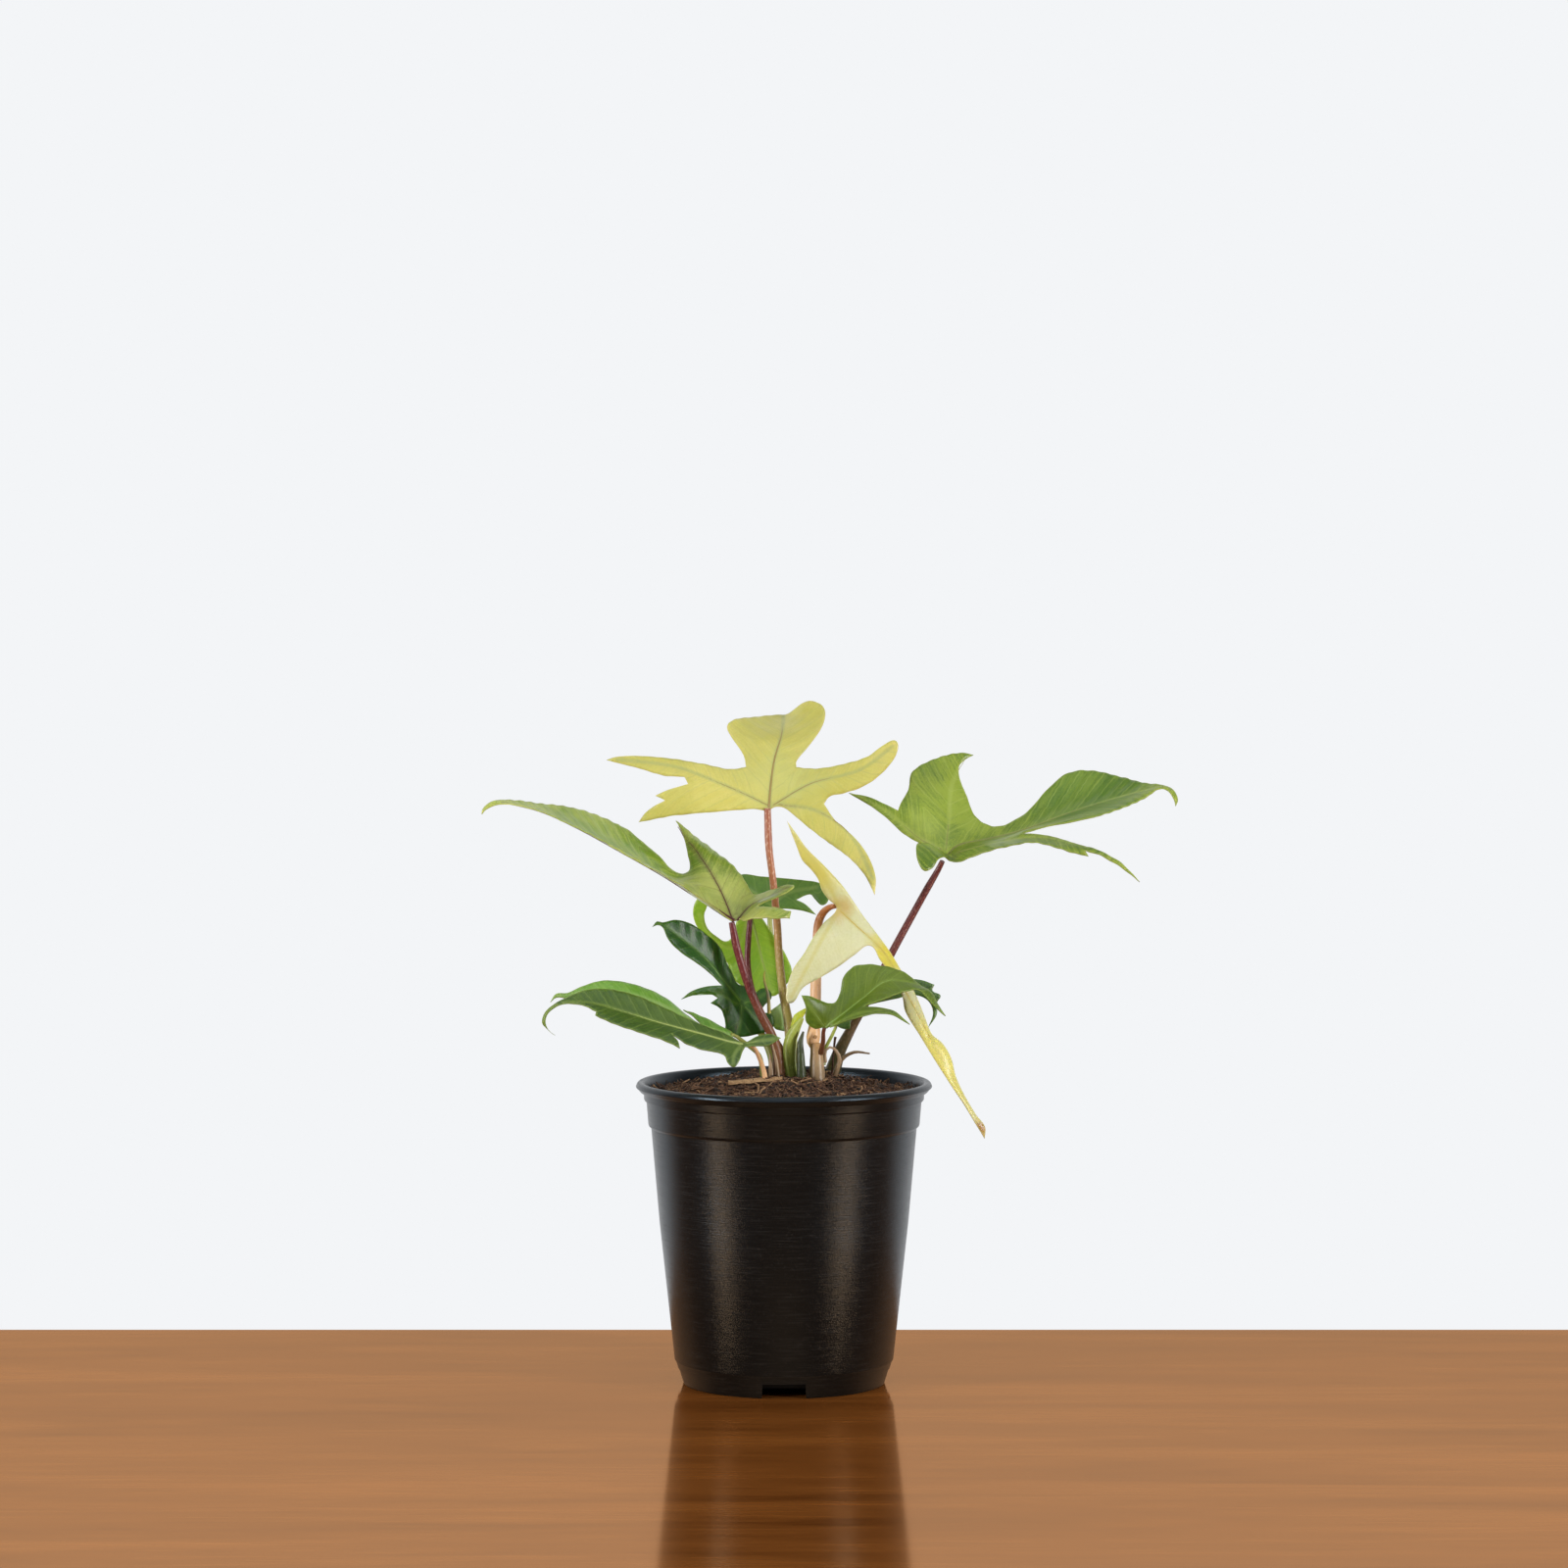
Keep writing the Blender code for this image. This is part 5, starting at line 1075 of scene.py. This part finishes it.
blade("hanging_leaf", leaf_material("hanging_leaf_skin", srgb(116, 156, 54), srgb(142, 178, 60),
                                    srgb(160, 185, 95), srgb(160, 180, 80), glow=0.35),
      "leaf_bright", "hanging_blade",
      [
      (-12.8, 174.2, 10), (-17, 172.4, 12), (-18.8, 166.4, 13), (-21.4, 163.8, 14), (-25, 165.6, 14),
      (-28.3, 168.6, 14), (-29.6, 173.4, 13), (-28.4, 177.6, 12), (-29.6, 181.6, 11, TIP), (-32.6, 179, 12),
      (-33.7, 174, 13), (-31.7, 168.6, 15), (-27, 161.8, 16), (-21.4, 156.6, 16), (-19.6, 152.2, 16),
      (-17.2, 148.5, 15), (-12.6, 146, 14), (-7.6, 144.6, 13), (-3.6, 143.6, 12), (0, 146.8, 12),
      (2.9, 151.8, 12), (1.4, 157.4, 12.4), (-2, 163.4, 12), (-5.6, 168.8, 11), (-9, 173.2, 10)],
      [[(-12.2, 172.8, 10.4), (-10, 165, 12.6), (-8, 156.6, 13.6), (-4.8, 145, 12.6)],
       [(-13.4, 172, 11), (-18, 162, 14.6), (-26, 164.4, 15), (-31.4, 174, 13)]],
      rib_skin=leaf_material("hanging_rib_skin", srgb(150, 175, 90), srgb(165, 185, 100),
                             srgb(150, 175, 90), srgb(150, 175, 90)))

# ---------------------------------------------------------------------------
# Dark left leaf. An older leaf, thick and dark green, with light ribs
# and curled lobes on the right.
# ---------------------------------------------------------------------------

blade("dark_left_leaf", leaf_material("dark_left_skin", srgb(22, 58, 12), srgb(38, 80, 22),
                                      srgb(84, 122, 46), srgb(90, 120, 50), gloss=0.36, glow=0.15),
      "leaf_dark", "dark_left_blade",
      [
      (-13.6, 147.1, -1.4), (-17, 147.9, -1.6), (-19, 151.6, -2), (-21.2, 156, -3), (-23.6, 161.6, -5),
      (-28, 166, -7), (-34, 170.2, -9), (-40, 171.9, -11), (-45.2, 170.9, -13), (-47, 171.3, -13.6),
      (-48.8, 169.2, -14, TIP), (-46.8, 170, -14), (-44.8, 169.2, -14), (-42.6, 164.4, -14.6),
      (-38, 159.8, -14),
      (-31, 155, -12), (-26, 151, -10), (-22.6, 147.6, -8, TIP), (-29, 147.1, -10), (-34.4, 145.3, -12),
      (-38.2, 142.3, -14, TIP), (-32, 144.2, -12), (-26.6, 144.2, -10), (-24.4, 142.9, -8.6, TIP),
      (-27.2, 141, -9.6, TIP), (-23.4, 138.6, -8), (-21.8, 133.6, -7), (-21.4, 129.6, -6.6),
      (-16, 128.4, -5),
      (-10, 129.4, -3), (-6, 130.6, -1.6), (-3.6, 133, -0.6), (-4.2, 136.4, -0.6), (-6.6, 137.4, -1),
      (-9, 137, -2, TIP), (-7, 140.4, -1.6), (-4.6, 143, -0.6), (-5.6, 146, 0), (-8.6, 146.4, 0),
      (-11, 144.9, -1.4)],
      [[(-16, 141.8, -4), (-22, 148.6, -5.4), (-30, 158.4, -8.6), (-44, 170, -13)],
       [(-17.4, 140.6, -4.4), (-24, 144, -7.6), (-36, 143.8, -13)],
       [(-15.6, 140.4, -4), (-16, 134.6, -5), (-17, 129.6, -5.4)],
       [(-14.6, 141, -3.6), (-10, 142.6, -2.4), (-6, 145, -0.4)],
       [(-14.4, 139.6, -3.8), (-9, 134.4, -2.6), (-4.4, 134.4, -0.8)]],
      rib_skin=leaf_material("dark_left_rib_skin", srgb(84, 120, 44), srgb(100, 132, 60), srgb(80, 120, 40),
                             srgb(80, 120, 40)))

# ---------------------------------------------------------------------------
# Low left leaves. A folded dark leaf that reaches out low to the left,
# and a lighter leaf that it half covers.
# ---------------------------------------------------------------------------

blade("low_left_leaf", leaf_material("low_left_skin", srgb(46, 74, 22), srgb(74, 98, 34),
                                     srgb(130, 150, 76), srgb(140, 158, 84), streaks=0.9),
      "leaf_dark", "low_left_blade",
      [
      (-14.8, 126.2, -25), (-19, 127.9, -25), (-23.4, 130.2, -25), (-30, 132.7, -25), (-38, 136.3, -25),
      (-46, 140, -25), (-56, 144.2, -25), (-66, 146.2, -25.6), (-74, 145.6, -26.6), (-80, 143.2, -28),
      (-85.6, 140.2, -29.4), (-89, 136.6, -30.6), (-89.3, 133, -31), (-84.6, 128.8, -31, TIP),
      (-88, 132.8, -32),
      (-88, 136.4, -31.6), (-84.6, 139.8, -31), (-80, 141, -31), (-75, 140.6, -32.6),
      (-69.6, 137.9, -34, TIP),
      (-70, 136.3, -34.4, TIP), (-62, 132.9, -35.4), (-52, 129.5, -36.4), (-45, 127.2, -36.6),
      (-38.6, 124.1, -37, TIP), (-39.4, 126.8, -35.6), (-41.6, 129.6, -34, TIP), (-37, 126, -34.4, TIP),
      (-30, 123.4, -34.4), (-22.2, 121.8, -33), (-21, 119, -33.4), (-18.6, 117.2, -34), (-16.6, 119.6, -33),
      (-15.4, 123, -30), (-14.4, 124.8, -27.4, TIP), (-10.4, 125, -26.6), (-6, 125, -26.4),
      (-1.2, 128, -26, TIP), (-5, 129.4, -24.6), (-10, 128.6, -24)],
      [[(-15.4, 125.8, -26), (-22, 127.2, -28.4), (-32, 130, -29), (-45, 133.4, -29.4), (-58, 137.4, -29.4),
       (-70, 140.6, -29.6), (-82, 141.4, -30)],
       [(-16, 125, -27), (-18.6, 121.4, -31), (-18.8, 118.4, -33.4)],
       [(-14.2, 126, -25.6), (-9, 127, -25.4), (-3, 127.6, -26)]],
      rib_skin=leaf_material("low_left_rib_skin", srgb(150, 168, 92), srgb(165, 175, 110),
                             srgb(150, 168, 92), srgb(150, 168, 92)))
blade("low_left_rear_leaf", leaf_material("low_left_rear_skin", srgb(88, 136, 44), srgb(118, 158, 70),
                                          srgb(150, 175, 110), srgb(150, 170, 100), streaks=1.0),
      "leaf_bright", "low_left_rear_blade",
      [
      (-18.6, 129, -13), (-23.6, 132.2, -11), (-29, 135.4, -10), (-33.6, 137.5, -9.4),
      (-37.4, 138.3, -9, TIP),
      (-34, 136.4, -10.4), (-30.4, 131.9, -12.6, TIP), (-33.5, 134.2, -13), (-36.4, 136.6, -13),
      (-39.6, 139.6, -13), (-44, 142.9, -13),
      (-50, 145.9, -13), (-58, 148.4, -13.4), (-67, 149.3, -14.4), (-75, 147, -16), (-80.4, 144.6, -17.6),
      (-84.4, 144.4, -18.6), (-86.6, 141.2, -19.4, TIP), (-84.2, 143.2, -19.6), (-80, 142.6, -19.6),
      (-70, 141, -19.4), (-60, 137.8, -19), (-50, 134.8, -18), (-40, 131.8, -17), (-30, 129.4, -15.6),
      (-23, 127.9, -14.6)],
      [[(-20, 129.2, -14), (-30, 133, -16), (-42, 139, -17), (-56, 144, -17), (-70, 145.4, -17.4),
       (-84, 143.8, -19)]])

# ---------------------------------------------------------------------------
# Front right leaves. A green leaf that stands in front of the right stalk,
# and a darker one behind it.
# ---------------------------------------------------------------------------

blade("front_right_leaf", leaf_material("front_right_skin", srgb(66, 90, 16), srgb(94, 114, 28),
                                        srgb(122, 144, 60), srgb(128, 150, 70)),
      "leaf_dark", "front_right_blade",
      [
      (15.2, 131.4, -27), (11.6, 131.2, -27.6), (8.4, 133.6, -28.6), (7.8, 136.6, -29), (8.2, 139, -29),
      (6.4, 144.1, -30, TIP), (11, 143.1, -28), (15, 141.2, -26), (18.6, 140.9, -25), (20.8, 144.8, -24),
      (22, 150.6, -23), (26, 154.6, -22), (32, 155.4, -22), (39, 154.4, -23), (45.4, 151.8, -24.6),
      (50.8, 147.2, -27), (54.6, 145, -29), (57, 140.4, -31), (59.8, 136.2, -33, TIP), (56.2, 139.4, -33),
      (52.4, 143.6, -32), (49.6, 146, -31.6), (44, 145.2, -34), (37, 142.6, -36), (29.4, 139.8, -36, TIP),
      (36, 139.2, -40), (41.4, 137.4, -43), (46.6, 133, -46, TIP), (41, 136.2, -45), (34, 137.2, -43),
      (28, 135.6, -39), (21.6, 133.7, -33)],
      [[(15.6, 132, -27.6), (22, 137, -28.4), (30, 143.4, -28.4), (38, 149.2, -27.6), (49, 148.2, -28)],
       [(15, 132.6, -27.6), (11, 138, -28.8), (7.4, 142.8, -29.6)],
       [(17, 132.6, -29), (26, 136.8, -36), (36, 138.2, -41.4)]],
      rib_skin=leaf_material("front_right_rib_skin", srgb(122, 150, 72), srgb(135, 160, 85),
                             srgb(120, 150, 70), srgb(120, 150, 70)))
blade("rear_right_leaf", leaf_material("rear_right_skin", srgb(52, 78, 44), srgb(72, 98, 56),
                                       srgb(100, 125, 80), srgb(100, 125, 70)),
      "leaf_dark", "rear_right_blade",
      [
      (19.4, 133.3, -5), (22, 131.4, -6), (24.4, 131.5, -6.6, TIP), (25, 135, -8), (30, 139.6, -9.6),
      (36, 141.4, -11), (42, 142.7, -12), (48, 144, -12.6), (53.4, 141.8, -13), (55.2, 137, -13.4),
      (53.4, 131.8, -14, TIP), (56.6, 136.6, -13.4), (56.6, 141.2, -13), (58, 143.8, -12.6),
      (55, 145.6, -12.4),
      (55.8, 147.8, -12, TIP), (50.6, 149.6, -11), (43, 150, -9.4), (34, 148.6, -8), (26.6, 144.4, -6.6),
      (21.4, 138.4, -5.4)],
      [[(20, 134.6, -6), (28, 141.6, -8.4), (38, 146, -10), (50, 147, -11.6)]])

# ---------------------------------------------------------------------------
# Pale bud sheath. The sheath that an earlier leaf grew from, left standing
# among the stalks.
# ---------------------------------------------------------------------------

blade("pale_sheath", leaf_material("pale_sheath_leaf_skin", srgb(150, 182, 126), srgb(170, 195, 145),
                                   srgb(170, 190, 130), srgb(150, 170, 110)),
      "leaf_bright", "pale_bud_sheath",
      [
      (-5.2, 138, 8, TIP), (-2.6, 139.8, 8), (0.2, 141.6, 8), (2, 138, 8.6), (2.8, 134, 9),
      (1.4, 130.4, 8.4, TIP), (-1.2, 130.8, 7.4), (-3.6, 131.8, 7)],
      [[(-2, 137, 6.6), (0, 133, 6.8)]])
